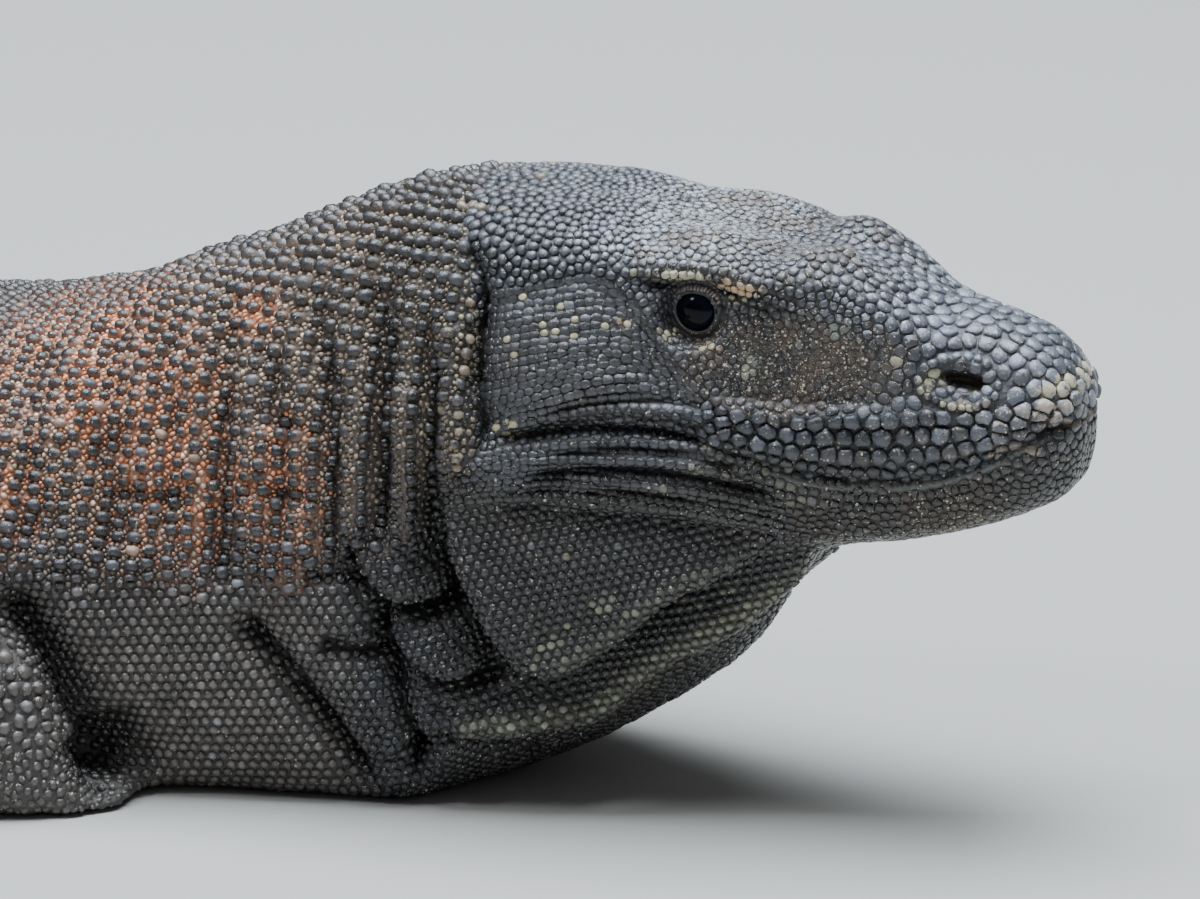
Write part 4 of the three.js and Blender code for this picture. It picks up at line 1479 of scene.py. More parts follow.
def closer(spacing, distance, limits):
    """Spacing that shrinks towards a small feature."""
    reach, least, growth = limits
    return np.where(distance < reach, np.minimum(spacing, least + growth * distance), spacing)


def head_spacing(places, normals):
    along, _, up = places.T
    upward = np.zeros(len(places)) if normals is None else normals[:, 2]
    top = smoothstep(0.35, 0.75, upward)
    spacing = np.full(len(places), HEAD_SPACING)
    snout = 1 - smoothstep(46, 76, along)
    tip = 1 - smoothstep(8, 24, along)
    spacing += (SNOUT_WIDER - TIP_NARROWER * tip) * snout * smoothstep(138, 148, up)
    spacing += CROWN_WIDER * top * (1 - smoothstep(70, 118, along)) * (1 - snout)
    spacing += BACK_WIDER * top * smoothstep(165, 205, along)
    spacing += BROW_WIDER * smoothstep(192, 200, up) * smoothstep(150, 170, along) * (1 - top)
    nostril = np.hypot(along - NOSTRIL[0], (up - NOSTRIL[2]) * 1.3)
    spacing = closer(spacing, nostril, NOSTRIL_SPACING)
    spacing -= LORE_NARROWER * near_spot(places, (84, 168), (32, 13))
    eye = np.hypot(along - EYE_PLACE["right"][0], up - EYE_PLACE["right"][2])
    return closer(spacing, eye, EYE_SPACING)


def head_height(places, spacing, normals):
    """How tall scales are, from their spacing: domed beads above the temple, near flat on the lore."""
    along, _, up = places.T
    share = np.full(len(places), HEAD_HEIGHT)
    share += BACK_HIGHER * smoothstep(0.1, 0.4, normals[:, 2]) * smoothstep(140, 175, along) * (up > 150)
    share += BROW_HIGHER * smoothstep(186, 196, up) * smoothstep(150, 162, along)
    share -= LORE_LOWER * near_spot(places, (90, 168), (34, 15))
    share -= SIDE_LOWER * near_spot(places, (170, 165), (26, 20))
    share -= SIDE_LOWER * (1 - smoothstep(50, 80, along))
    return share * spacing


ROW_START = (0.2, 0.8)  # a row's first scale, as a share of the distance between scales
# Unevenness of rows: along the row and across it, as shares of the distance between scales, and of the sizes.
ROW_JITTER = (0.09, 0.04, 0.09)
LATTICE_JITTER = 0.04


def row_coat(surface, line, pitch, long, wide, height, side, **look):
    """A row of scales along a line seen from the side."""
    curve = smooth_line(line, 12)
    arc = np.r_[0, np.cumsum(np.linalg.norm(np.diff(curve, axis=0), axis=1))]
    marks = np.arange(pitch * chance.uniform(*ROW_START), arc[-1], pitch)
    marks = marks + chance.normal(0, ROW_JITTER[0] * pitch, len(marks))
    flat = np.stack([np.interp(marks, arc, curve[:, k]) for k in (0, 1)], -1)
    ahead = np.stack([np.interp(marks + 1, arc, curve[:, k]) for k in (0, 1)], -1) - flat
    flat += chance.normal(0, ROW_JITTER[1] * pitch, flat.shape)
    spots, normals, found = surface.from_side(flat, side)
    tailward = body_directions(body_places(spots)[:, 0])[0]
    way = tailward * ahead[found, :1] + np.array([0, 0, 1.0]) * ahead[found, 1:]
    jitter = np.exp(chance.normal(0, ROW_JITTER[2], len(spots)))
    return Coat(spots, normals, way, long * jitter, wide * jitter, height * jitter, **look)


def shifted_line(line, rise, start=0.0, end=1.0):
    """A line moved up by rise, and cut to a share of its length."""
    curve = smooth_line(line, 4)
    n = len(curve)
    curve = curve[int(start * n) : max(int(end * n), int(start * n) + 2)]
    return [(along, up + rise) for along, up in curve]


# Rows of scales on the side of the head: line, distance between scales, half length, half width, height.
BROW_ROW = [(148, 199.8), (136, 199.4), (124, 198.6), (112, 197.2), (102, 194.4), (92, 191.6)]
NOSTRIL_ROW = [(53, 165), (50, 160), (44, 157), (37, 155.6), (31, 156.6), (26, 160.4), (26, 165)]
HEAD_ROWS = [
    (lip_line(0.14), 4.9, 3.3, 2.9, 1.3),
    (lip_line(0.41), 5.9, 4.2, 3.7, 1.9),
    (lip_line(0.69), 6.5, 4.6, 4.0, 2.2),
    (lip_line(0.97), 6.3, 4.4, 3.8, 2.1),
    (shifted_line(MOUTH, -5.4, 0.08, 0.97), 3.9, 2.2, 1.9, 0.9),
    (shifted_line(MOUTH, -9.0, 0.08, 0.97), 3.8, 2.2, 2.0, 0.9),
    (BROW_ROW, 3.8, 2.1, 1.8, 1.2),
    ([(146, 196), (136, 196), (127, 195.8), (119, 195)], 3.0, 1.8, 1.7, 1.3),
    ([(120, 193), (112, 191.6), (104, 190), (95, 187)], 2.9, 1.7, 1.6, 1.3),
    ([(119, 189.8), (113, 188), (107, 186.6)], 2.6, 1.5, 1.4, 1.0),
    ([(28, 168), (35, 171.4), (44, 171.6), (51, 168)], 3.6, 2.1, 1.7, 1.1),
    (NOSTRIL_ROW, 3.0, 1.8, 1.4, 0.9),
]
MERGED_ROWS = [(temple_line(share), 3.5, 2.8, 1.6, 0.62 - 0.2 * share) for share in TEMPLE_SHARES]
MERGED_ROWS += [(jaw_line(share), 3.3, 2.5, 1.6, 0.7) for share in JAW_SHARES]
MERGED_FILL = 1.16  # more than 1, so that the scales of a row run into each other
ROW_SPACING = 2.4  # rows that cross leave out scales closer than this
SPOT_SCALE = (1.5, 1.25)  # half length and half width of the single pale scales
# Rows on the lids: distance from the opening, first and last angle, distance between scales, half length,
# half width, height, colour.
LID_ROWS = [
    (1.7, 25, 158, 1.25, 0.75, 1.45, 0.5, LID),
    (3.3, 20, 160, 1.5, 0.85, 0.5, 0.3, LID_SKIN),
    (3.7, 182, 350, 1.8, 1.0, 0.6, 0.3, LID_SKIN),
]


def head_rows(surface):
    """The rows of scales on the lips, brows, temple and jaw."""
    rows = []
    for side in SIDES.values():
        rows += [row_coat(surface, *row, side) for row in HEAD_ROWS]
        rows += [row_coat(surface, *row, side, fill=MERGED_FILL) for row in MERGED_ROWS]
    rows = joined(rows)
    places = body_places(rows.spot)
    rows.colour = scale_colour(places, rows.normal)
    small = on_temple_spot(places[:, [0, 2]])
    rows.long[small], rows.wide[small] = SPOT_SCALE
    return rows.part(thinned(rows.spot, ROW_SPACING))


def lid_arc(side_name, gap, start, end):
    """A line round an eye's opening, between two angles in degrees."""
    along, _, up = EYE_PLACE[side_name]
    turns = np.radians(np.linspace(start, end, 12))
    reach = opening_radius(turns) + gap
    return [(along + r * math.cos(t), up + r * math.sin(t)) for r, t in zip(reach, turns)]


def lid_rows(surface):
    """Fine scales: an upright row on the upper lid, and a loose ring round the smooth lower one."""
    coats = []
    for side_name, side in SIDES.items():
        for gap, start, end, *sizes, colour in LID_ROWS:
            row = row_coat(surface, lid_arc(side_name, gap, start, end), *sizes, side)
            row.colour = colour * unevenness(len(row), 0.2)
            coats.append(row)
    return joined(coats)


def open_places(places):
    """Where scales may grow: not in nostrils and eyes, on the smooth lower lids or on the lip's edge."""
    free = nostril_ring(places)[0] > 1.05
    free &= on_lip(places) < 0.3
    for side_name in SIDES:
        back, rise, out = eye_place(places, side_name)
        turn = np.arctan2(rise, back)
        smooth_lid = np.where(np.sin(turn) < 0.1, 3.0, 0.5)
        free &= (np.hypot(back, rise) > opening_radius(turn) + smooth_lid) | (out < -20)
    return free


# Regular rows seen from the side: distance between scales, degrees that the rows rise to the snout.
THROAT_ROWS = (3.5, 14)
CHEST_ROWS = (3.9, 3)
LATTICE_MIDDLE = (230, 60)
LATTICE_REACH = 70  # rows to each side of the middle
LATTICE_FACING = 0.3  # the skin has these rows where it faces sideways by at least this much
CHEST_START = 233
CHEST_END = 365


def throat_limit(along):
    """Height below which the throat and chest have their own regular rows. It wanders over the folds."""
    limit = np.interp(along, [90, 130, 205, 235, 260, 300, 365], [98, 110, 112, 90, 82, 76, 80])
    return limit + smoothstep(225, 245, along) * (3.4 * np.sin(along / 6.1) + 2.6 * np.sin(along / 2.7 + 1))


def above_throat(places):
    """0 at the upper limit of the throat's and chest's rows, rising to 1 above it."""
    return smoothstep(2, 34, places[:, 2] - throat_limit(places[:, 0]))


def on_throat(flat):
    return (flat[:, 0] > 88) & (flat[:, 0] < CHEST_START - 1) & (flat[:, 1] < throat_limit(flat[:, 0]))


def on_chest(flat):
    return (flat[:, 0] > CHEST_START) & (flat[:, 0] < CHEST_END) & (flat[:, 1] < throat_limit(flat[:, 0]))


def side_lattice(surface, side, rows, inside):
    """Scales in regular rows as seen from the side, where the skin faces that side."""
    spacing, turn = rows[0], math.radians(rows[1])
    count = np.arange(-LATTICE_REACH, LATTICE_REACH)
    i, j = (grid.reshape(-1, 1) for grid in np.meshgrid(count, count))
    ways = [np.array([-math.cos(t), math.sin(t)]) * spacing for t in (turn, turn + math.radians(60))]
    flat = np.array(LATTICE_MIDDLE) + i * ways[0] + j * ways[1]
    flat += chance.normal(0, LATTICE_JITTER * spacing, flat.shape)
    flat = flat[inside(flat) & (flat[:, 1] > 1)]
    spots, normals, _ = surface.from_side(flat, side)
    leftward = body_directions(body_places(spots)[:, 0])[1]
    near = ((normals * leftward).sum(1) * side > LATTICE_FACING) & ~on_limb(spots)
    return spots[near], normals[near]


# Distances between scales of the upper neck: along the neck, and between rings and round a ring there.
NECK_PLACES = [200, 240, 290, 350, 430, 700]
NECK_STEPS = [5.7, 6.0, 6.0, 6.0, 6.4, 7.0]
NECK_PITCHES = [4.3, 4.6, 4.8, 4.9, 5.4, 5.9]


def neck_step(along):
    return np.interp(along, NECK_PLACES, NECK_STEPS)


def neck_pitch(along):
    return np.interp(along, NECK_PLACES, NECK_PITCHES)


def on_upper_neck(places):
    above = (places[:, 2] > throat_limit(places[:, 0])) | (places[:, 0] > CHEST_END)
    return above & (places[:, 0] > neck_start(places[:, 2]))


def tail_size(along):
    """How much smaller the scales get along the tail."""
    return np.interp(along, [1150, 1500, 2000, 2400, 2550], [1, 0.9, 0.72, 0.45, 0.3])


def nearest_around(spots, normals, ways, count):
    """The nearest other seeds of each seed, in order round it, as their numbers and offsets."""
    tree = point_tree(spots)
    near = np.array([[hit[1] for hit in tree.find_n(p, count + 1)][1:] for p in spots.tolist()])
    offset = spots[near] - spots[:, None]
    across = np.cross(normals, ways)
    heading = np.arctan2((offset * across[:, None]).sum(2), (offset * ways[:, None]).sum(2))
    order = np.argsort(heading, axis=1)
    rows = np.arange(len(spots))[:, None]
    return near[rows, order], offset[rows, order]


GRAIN_REACH = 9  # beads further apart than this have no granules between them
GRAIN_SPACING = 1.3  # granules are at least about this far apart
BEADS_AROUND = 6


def between(spots, normals, ways):
    """Places for the granules round each bead: halfway to its neighbours, and in the corners of three."""
    near, offset = nearest_around(spots, normals, ways, BEADS_AROUND)
    number = np.arange(len(spots))
    fair = np.linalg.norm(offset, axis=2) < GRAIN_REACH
    marks = []
    for k in range(BEADS_AROUND):
        after = (k + 1) % BEADS_AROUND
        first = (near[:, k] > number) & fair[:, k]
        marks.append(spots[first] + 0.5 * offset[first, k])
        lowest = first & (near[:, after] > number) & fair[:, after]
        marks.append(spots[lowest] + (offset[lowest, k] + offset[lowest, after]) / 3)
    marks = np.concatenate(marks)
    return marks[thinned(marks, GRAIN_SPACING)]


# ---------------------------------------------------------------- camera, light and floor
VIEW_AZIMUTH = math.radians(20)
VIEW_ELEVATION = math.radians(17)
VIEW_DISTANCE = 5  # metres
VIEW_WIDTH = 0.408  # metres of the animal across the picture
EYE_OFFSET = (31.6, 46.75)  # the eye lies this far right of and above the picture's middle
SENSOR = 36
EYE_DEPTH = 2.5  # the camera aims at a point this far inside the eye's surface
FLOOR_SIDE = 14  # metres from the middle of the floor to its sides
FLOOR_COLOUR = (0.47, 0.46, 0.44, 1)
FLOOR_ROUGHNESS = 0.9
WORLD_COLOUR = (0.92, 0.96, 1, 1)
WORLD_STRENGTH = 0.16
HEAD_MIDDLE = (1.05, -0.1, 0.12)  # where the lamps aim, in metres
SKY_PLACE = (0.95, 0.2, 3.2)
# Lamps: size in metres, power in watts, colour.
SKY_LAMP = (2.2, 285, (0.84, 0.925, 1))
FRONT_LAMP = (0.74, 28, (0.9, 0.95, 1))


def view_axes():
    """Directions from the animal to the camera, and to the right and up in the picture."""
    toward = Vector(
        (
            math.sin(VIEW_AZIMUTH) * math.cos(VIEW_ELEVATION),
            -math.cos(VIEW_AZIMUTH) * math.cos(VIEW_ELEVATION),
            math.sin(VIEW_ELEVATION),
        )
    )
    right = Vector((math.cos(VIEW_AZIMUTH), math.sin(VIEW_AZIMUTH), 0))
    return toward, right, toward.cross(right)


def add_camera():
    toward, right, up = view_axes()
    low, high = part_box("eye_right")
    eye = (low + high) / 2 - Vector((0, (EYE_RADIUS - EYE_DEPTH) * MM, 0))
    centre = eye - right * EYE_OFFSET[0] * MM - up * EYE_OFFSET[1] * MM
    lens = bpy.data.cameras.new("camera")
    lens.sensor_width = SENSOR
    lens.lens = SENSOR * VIEW_DISTANCE / VIEW_WIDTH
    camera = new_object("camera", lens)
    camera.location = centre + toward * VIEW_DISTANCE
    camera.rotation_euler = toward.to_track_quat("Z", "Y").to_euler()
    bpy.context.scene.camera = camera


def add_area_light(name, place, aim, size, power, colour):
    lamp = bpy.data.lights.new(name, "AREA")
    lamp.size = size
    lamp.energy = power
    lamp.color = colour
    light = new_object(name, lamp)
    light.location = place
    light.rotation_euler = (Vector(place) - Vector(aim)).to_track_quat("Z", "Y").to_euler()


def add_floor():
    mesh = bpy.data.meshes.new("floor")
    corners = [(x * FLOOR_SIDE, y * FLOOR_SIDE, 0) for x, y in ((-1, -1), (1, -1), (1, 1), (-1, 1))]
    mesh.from_pydata(corners, [], [(0, 1, 2, 3)])
    floor = new_object("floor", mesh)
    material = bpy.data.materials.new("floor")
    material.use_nodes = True
    shader = material.node_tree.nodes["Principled BSDF"]
    shader.inputs["Base Color"].default_value = FLOOR_COLOUR
    shader.inputs["Roughness"].default_value = FLOOR_ROUGHNESS
    floor.data.materials.append(material)


EYE_LIGHT = (-0.36, 0.36)  # how far right of and above its middle the lamp shows in the eye, in its radii
EYE_LAMP_DISTANCE = 3  # metres


def eye_lamp_place():
    """Where a lamp shows in the eye as a point of light up on the left."""
    toward, right, up = view_axes()
    across, rise = EYE_LIGHT
    facing = Vector((across, rise, math.sqrt(1 - across**2 - rise**2)))
    mirrored = 2 * facing.z * facing - Vector((0, 0, 1))
    low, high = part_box("eye_right")
    way = right * mirrored.x + up * mirrored.y + toward * mirrored.z
    return (low + high) / 2 + way * EYE_LAMP_DISTANCE


def add_light():
    world = bpy.data.worlds.new("studio")
    world.use_nodes = True
    background = world.node_tree.nodes["Background"]
    background.inputs["Color"].default_value = WORLD_COLOUR
    background.inputs["Strength"].default_value = WORLD_STRENGTH
    bpy.context.scene.world = world
    add_area_light("sky", SKY_PLACE, HEAD_MIDDLE, *SKY_LAMP)
    add_area_light("front", eye_lamp_place(), HEAD_MIDDLE, *FRONT_LAMP)


add_camera()
add_light()
add_floor()


# ---------------------------------------------------------------- materials
class Nodes:
    """Short ways to add and link shader nodes."""

    def __init__(self, name):
        self.material = bpy.data.materials.new(name)
        self.material.use_nodes = True
        self.tree = self.material.node_tree
        self.shader = self.tree.nodes["Principled BSDF"]

    def add(self, kind, inputs=(), **settings):
        node = self.tree.nodes.new(kind)
        for key, value in settings.items():
            setattr(node, key, value)
        for key, value in dict(inputs).items():
            if isinstance(value, bpy.types.NodeSocket):
                self.tree.links.new(value, node.inputs[key])
            else:
                node.inputs[key].default_value = value
        return node

    def place(self):
        return self.add("ShaderNodeTexCoord").outputs["Object"]

    def wavy_place(self, scale, amount):
        """Places pushed about by up to half an amount, so that round things come out ragged."""
        push = self.add("ShaderNodeTexNoise", {"Vector": self.place(), "Scale": scale, "Detail": 2})
        inputs = {0: push.outputs["Color"], 1: (amount, amount, amount), 2: self.place()}
        return self.add("ShaderNodeVectorMath", inputs, operation="MULTIPLY_ADD").outputs["Vector"]

    def noise(self, scale, detail=3, roughness=0.6):
        inputs = {"Vector": self.place(), "Scale": scale, "Detail": detail, "Roughness": roughness}
        return self.add("ShaderNodeTexNoise", inputs).outputs["Fac"]

    def ramp(self, value, low, high):
        """value taken from low..high to 0..1."""
        inputs = {"Value": value, "From Min": low, "From Max": high}
        return self.add("ShaderNodeMapRange", inputs, interpolation_type="SMOOTHSTEP").outputs["Result"]

    def scaled(self, value, factor, plus=0.0):
        return self.add("ShaderNodeMath", {0: value, 1: factor, 2: plus}, operation="MULTIPLY_ADD").outputs[0]

    def added(self, one, two):
        return self.add("ShaderNodeMath", {0: one, 1: two}, operation="ADD").outputs[0]

    def multiplied(self, one, two):
        return self.add("ShaderNodeMath", {0: one, 1: two}, operation="MULTIPLY").outputs[0]

    def mix(self, share, one, two, blend="MIX"):
        node = self.add("ShaderNodeMix", data_type="RGBA", blend_type=blend)
        for index, value in ((0, share), (6, one), (7, two)):
            if isinstance(value, bpy.types.NodeSocket):
                self.tree.links.new(value, node.inputs[index])
            else:
                node.inputs[index].default_value = value
        return node.outputs[2]

    def bump(self, height, strength, distance, normal=None):
        inputs = {"Height": height, "Strength": strength, "Distance": distance}
        if normal is not None:
            inputs["Normal"] = normal
        return self.add("ShaderNodeBump", inputs).outputs["Normal"]

    def link(self, value, socket):
        self.tree.links.new(value, self.shader.inputs[socket])


def rgba(colour):
    """A colour as four plain numbers, opaque."""
    return (*[float(c) for c in colour], 1)


# Materials: scales of patterns are in repeats for each metre, and distances in metres.
SPECK_WAVES = (1900, 0.0012)  # what makes specks ragged: scale, amount
SPECK_SCALES = (1250, 730)
SPECK_SHARE = 0.8  # how many specks there are where the dirt is thickest
SPECK_PALE = srgb(226, 214, 192)
SHADOW = (0.5, 0.48, 0.46, 1)  # what the mottled hide is multiplied by
# Patterns of the hide: noise (scale, detail, roughness), where it starts and is full, and the most it covers.
MOTTLE = ((260, 4), (0.35, 0.7), 0.5)
SMEAR = ((260, 5, 0.75), (0.68, 0.82), 0.85)
SMEAR_GAIN = 0.55  # how much the amount painted adds to a smear's noise
GRIME = ((95, 4, 0.7), (0.4, 0.6), 0.62)
SPECK_COVER = 0.92
GLOSS = ((420, 3), 0.34, -0.17)  # unevenness of the roughness: noise, how much, and where it starts
GRIME_DULL = 0.35  # how much rougher grime and smears are
SMEAR_DULL = 0.2
SHINE = 0.95  # how strongly wet-looking hide reflects
# Fine relief of the hide: scale, detail, roughness, strength, distance.
RELIEF = [(1500, 3, 0.7, 0.5, 0.0003), (520, 4, 0.7, 0.55, 0.0009)]
SPECK_RELIEF = (0.8, 0.0004)  # strength, distance
GRANULE_SCALE = 620
GRANULE_RELIEF = (0.9, 0.0006)


def specks(n, dirt, scale, share):
    """Ragged specks of dirt: how much each place is covered, and a number that differs between specks."""
    dots = n.add("ShaderNodeTexVoronoi", {"Vector": n.wavy_place(*SPECK_WAVES), "Scale": scale}, feature="F1")
    luck = n.add("ShaderNodeSeparateColor", {"Color": dots.outputs["Color"]})
    lucky = n.ramp(n.added(n.scaled(dirt, share), n.scaled(luck.outputs["Red"], -1.0)), -0.01, 0.02)
    size = n.scaled(luck.outputs["Green"], 0.26, 0.16)
    inside = n.ramp(n.added(size, n.scaled(dots.outputs["Distance"], -1.0)), 0.0, 0.06)
    return n.multiplied(lucky, inside), luck.outputs["Blue"]


def hide_material(name, roughness, granules):
    """Reptile hide: its painted colour with smears (pale ones, and painted shade in the mouth's slit and
    under the chin), grime, specks of dirt and a fine uneven gloss.
    """
    n = Nodes(name)
    painted = n.add("ShaderNodeAttribute", attribute_name="hide_colour")
    dirt = painted.outputs["Alpha"]
    pattern, edges, most = MOTTLE
    mottle = n.ramp(n.noise(*pattern), *edges)
    darker = n.mix(1.0, painted.outputs["Color"], SHADOW, "MULTIPLY")
    colour = n.mix(n.scaled(mottle, most), painted.outputs["Color"], darker)
    pattern, edges, most = SMEAR
    smear = n.add("ShaderNodeAttribute", attribute_name="smear_and_shade_colour")
    cover = n.added(n.noise(*pattern), n.scaled(smear.outputs["Alpha"], SMEAR_GAIN))
    cover = n.ramp(cover, *edges)
    colour = n.mix(n.scaled(cover, most), colour, smear.outputs["Color"])
    pattern, edges, most = GRIME
    grime = n.multiplied(dirt, n.ramp(n.noise(*pattern), *edges))
    colour = n.mix(n.scaled(grime, most), colour, rgba(DIRT * 0.5))
    bumps = []
    for scale in SPECK_SCALES:
        speck, luck = specks(n, dirt, scale, SPECK_SHARE)
        speck_colour = n.mix(n.ramp(luck, 0.3, 0.5), rgba(DIRT * 0.6), rgba(SPECK_PALE))
        colour = n.mix(n.scaled(speck, SPECK_COVER), colour, speck_colour)
        bumps.append(speck)
    n.link(colour, "Base Color")
    pattern, amount, start = GLOSS
    shine = n.scaled(n.noise(*pattern), amount, roughness + start)
    dull = n.added(n.scaled(grime, GRIME_DULL), n.scaled(cover, SMEAR_DULL))
    n.link(n.added(shine, dull), "Roughness")
    normal = None
    for *pattern, strength, distance in RELIEF:
        normal = n.bump(n.noise(*pattern), strength, distance, normal)
    for speck in bumps:
        normal = n.bump(speck, *SPECK_RELIEF, normal)
    if granules:
        inputs = {"Vector": n.place(), "Scale": GRANULE_SCALE}
        cells = n.add("ShaderNodeTexVoronoi", inputs, feature="SMOOTH_F1")
        normal = n.bump(n.scaled(cells.outputs["Distance"], -1.0), *GRANULE_RELIEF, normal)
    n.link(normal, "Normal")
    n.shader.inputs["Specular IOR Level"].default_value = SHINE
    return n.material


CLAW_DARK = srgb(40, 36, 33)
CLAW_PALE = srgb(92, 82, 70)
PUPIL = srgb(2, 3, 6)
IRIS = srgb(10, 14, 26)
EYE_WHITE = srgb(30, 30, 34)
EYE_MOTTLE = (0.002, 0.003, 0.006, 1)
EYE_ROUGHNESS = 0.05
EYE_SHINE = 0.14


def claw_material():
    n = Nodes("claw")
    streak = n.noise(160, 4)
    colour = n.mix(n.ramp(streak, 0.35, 0.7), rgba(CLAW_DARK), rgba(CLAW_PALE))
    n.link(colour, "Base Color")
    n.link(n.scaled(streak, 0.25, 0.2), "Roughness")
    n.link(n.bump(n.noise(900, 2), 0.4, 0.0003), "Normal")
    return n.material


def eye_material():
    """A dark glossy eye: a brown-black iris round a black pupil."""
    n = Nodes("eye")
    ring = n.add("ShaderNodeAttribute", attribute_name="hide_colour").outputs["Color"]
    n.link(n.mix(n.scaled(n.noise(700, 2), 0.3), ring, EYE_MOTTLE), "Base Color")
    n.shader.inputs["Roughness"].default_value = EYE_ROUGHNESS
    n.shader.inputs["Specular IOR Level"].default_value = EYE_SHINE
    return n.material


# ---------------------------------------------------------------- building it
surface = Surface(*sculpted_skin())
scale_look = hide_material("scales", 0.25, False)
skin_look = hide_material("skin", 0.55, True)


def with_dirt(colour, places):
    return np.concatenate([colour, dirt_on(places)[:, None]], 1)


def without_dirt(colour):
    return np.concatenate([colour, np.zeros((len(colour), 1))], 1)


def add_skin():
    mesh = new_mesh("skin", surface.points, surface.faces)
    pale = smears_and_shade_on(surface.places)
    pale[:, 3] *= 0.5
    add_colours(mesh, with_dirt(skin_colour(surface.places, surface.normals), surface.places), pale)
    mesh.materials.append(skin_look)
    piece = new_piece("skin", mesh)
    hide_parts(*HIDE_NODES)


def plain_coat(spots, normals, long, wide, height, spread=0.2, **look):
    """Scales that lie towards the tail, with the colours of their places."""
    colour = scale_colour(body_places(spots), normals, spread)
    return Coat(spots, normals, tail_way(spots), long, wide, height, colour=colour, **look)


def both_sides(rows, inside):
    parts = [side_lattice(surface, side, rows, inside) for side in SIDES.values()]
    return [np.concatenate(arrays) for arrays in zip(*parts)]


# filled calls each spacing with places and normals, also where it needs only the places.
def chest_spacing(places, normals):
    return np.full(len(places), CHEST_ROWS[0] - 0.1)


NECK_SCALES_END = 430
# Sizes of scales as shares of their spacing: half length and half width.
HEAD_SCALE = (0.66, 0.62)
THROAT_SCALE = (0.57, 0.5)
LIMB_SCALE = (0.74, 0.68)
THROAT_HEIGHT = 1.1
LIMB_HEIGHT = 0.28  # as a share of the spacing
SNOUT_LARGER = 0.14  # on the snout they leave less room between them
ROW_ROOM = 1.9  # how far others stay from a row's scales, as a share of their size
# And in millimetres: half length, half width and height.
BEAD = (2.75, 2.15, 2.2)
CHEST_SCALE = (2.2, 1.85, 1.4)
GRANULE_SIZE = (1.42, 1.22, 0.9)
BODY_SCALE = (3.35, 2.75, 1.7)
NAPE_LARGER = 0.2
NAPE_HIGHER = 0.7
BEAD_SPREAD = 0.13  # how much the sizes of beads and granules differ
GRANULE_SPREAD = 0.14


def add_head_scales():
    """Rows, throat lattice, and evenly packed scales between them. Gives the places of all of them."""
    rows = joined([lid_rows(surface), head_rows(surface)])
    rows = rows.part(open_places(body_places(rows.spot)))
    flap_spots, flap_normals = both_sides(THROAT_ROWS, on_throat)
    places = body_places(surface.middles)
    chosen = (places[:, 0] < neck_start(places[:, 2])) & open_places(places)
    chosen |= (places[:, 0] < CHEST_START) & (places[:, 2] < throat_limit(places[:, 0]))
    fixed = np.concatenate([rows.spot, flap_spots])
    row_spacing = ROW_ROOM * np.sqrt(rows.long * rows.wide)
    fixed_spacing = np.concatenate([row_spacing, np.full(len(flap_spots), THROAT_ROWS[0])])
    spots, normals = filled(surface, chosen, head_spacing, fixed, fixed_spacing)
    free = open_places(body_places(spots))
    spots, normals = spots[free], normals[free]
    places = body_places(spots)
    spacing = head_spacing(places, normals)
    packed = 1 + SNOUT_LARGER * (1 - smoothstep(60, 90, places[:, 0]))
    long, wide = (share * packed * spacing for share in HEAD_SCALE)
    fill = plain_coat(spots, normals, long, wide, head_height(places, spacing, normals))
    long, wide = (share * THROAT_ROWS[0] for share in THROAT_SCALE)
    flap = plain_coat(flap_spots, flap_normals, long, wide, THROAT_HEIGHT, 0.14)
    everything = np.concatenate([rows.spot, spots, flap_spots])
    add_scales("scales_lips_and_brows", rows, everything, 12, PLATE, scale_look)
    add_scales("scales_head", fill, everything, 9, PLATE, scale_look)
    add_scales("scales_throat", flap, everything, 8, DOME, scale_look)
    return everything


def lace_colour(places):
    """The paler hide between the beads of the neck, dark near the head."""
    dark = TAN * 0.34
    return dark + (GRANULE - dark) * smoothstep(212, 312, places[:, 0])[:, None]


def bead_rims(places, spots):
    """The paler colour round the foot of each bead, and how much of it there is."""
    colour = mixed(lace_colour(places), ORANGE, 1.3 * orange_share(places)) * unevenness(len(places), 0.3)
    # Painted shade at the bottom of folds.
    colour *= 0.62 * (1 - BEAD_FOLD_SHADE * surface.sunk_at(spots))[:, None]
    amount = 0.8 * smoothstep(NECK_SCALES_END, 350, places[:, 0]) * above_throat(places)
    return np.concatenate([colour, amount[:, None]], 1)


NECK_RINGS_START = 200
BEAD_JITTER = 0.38


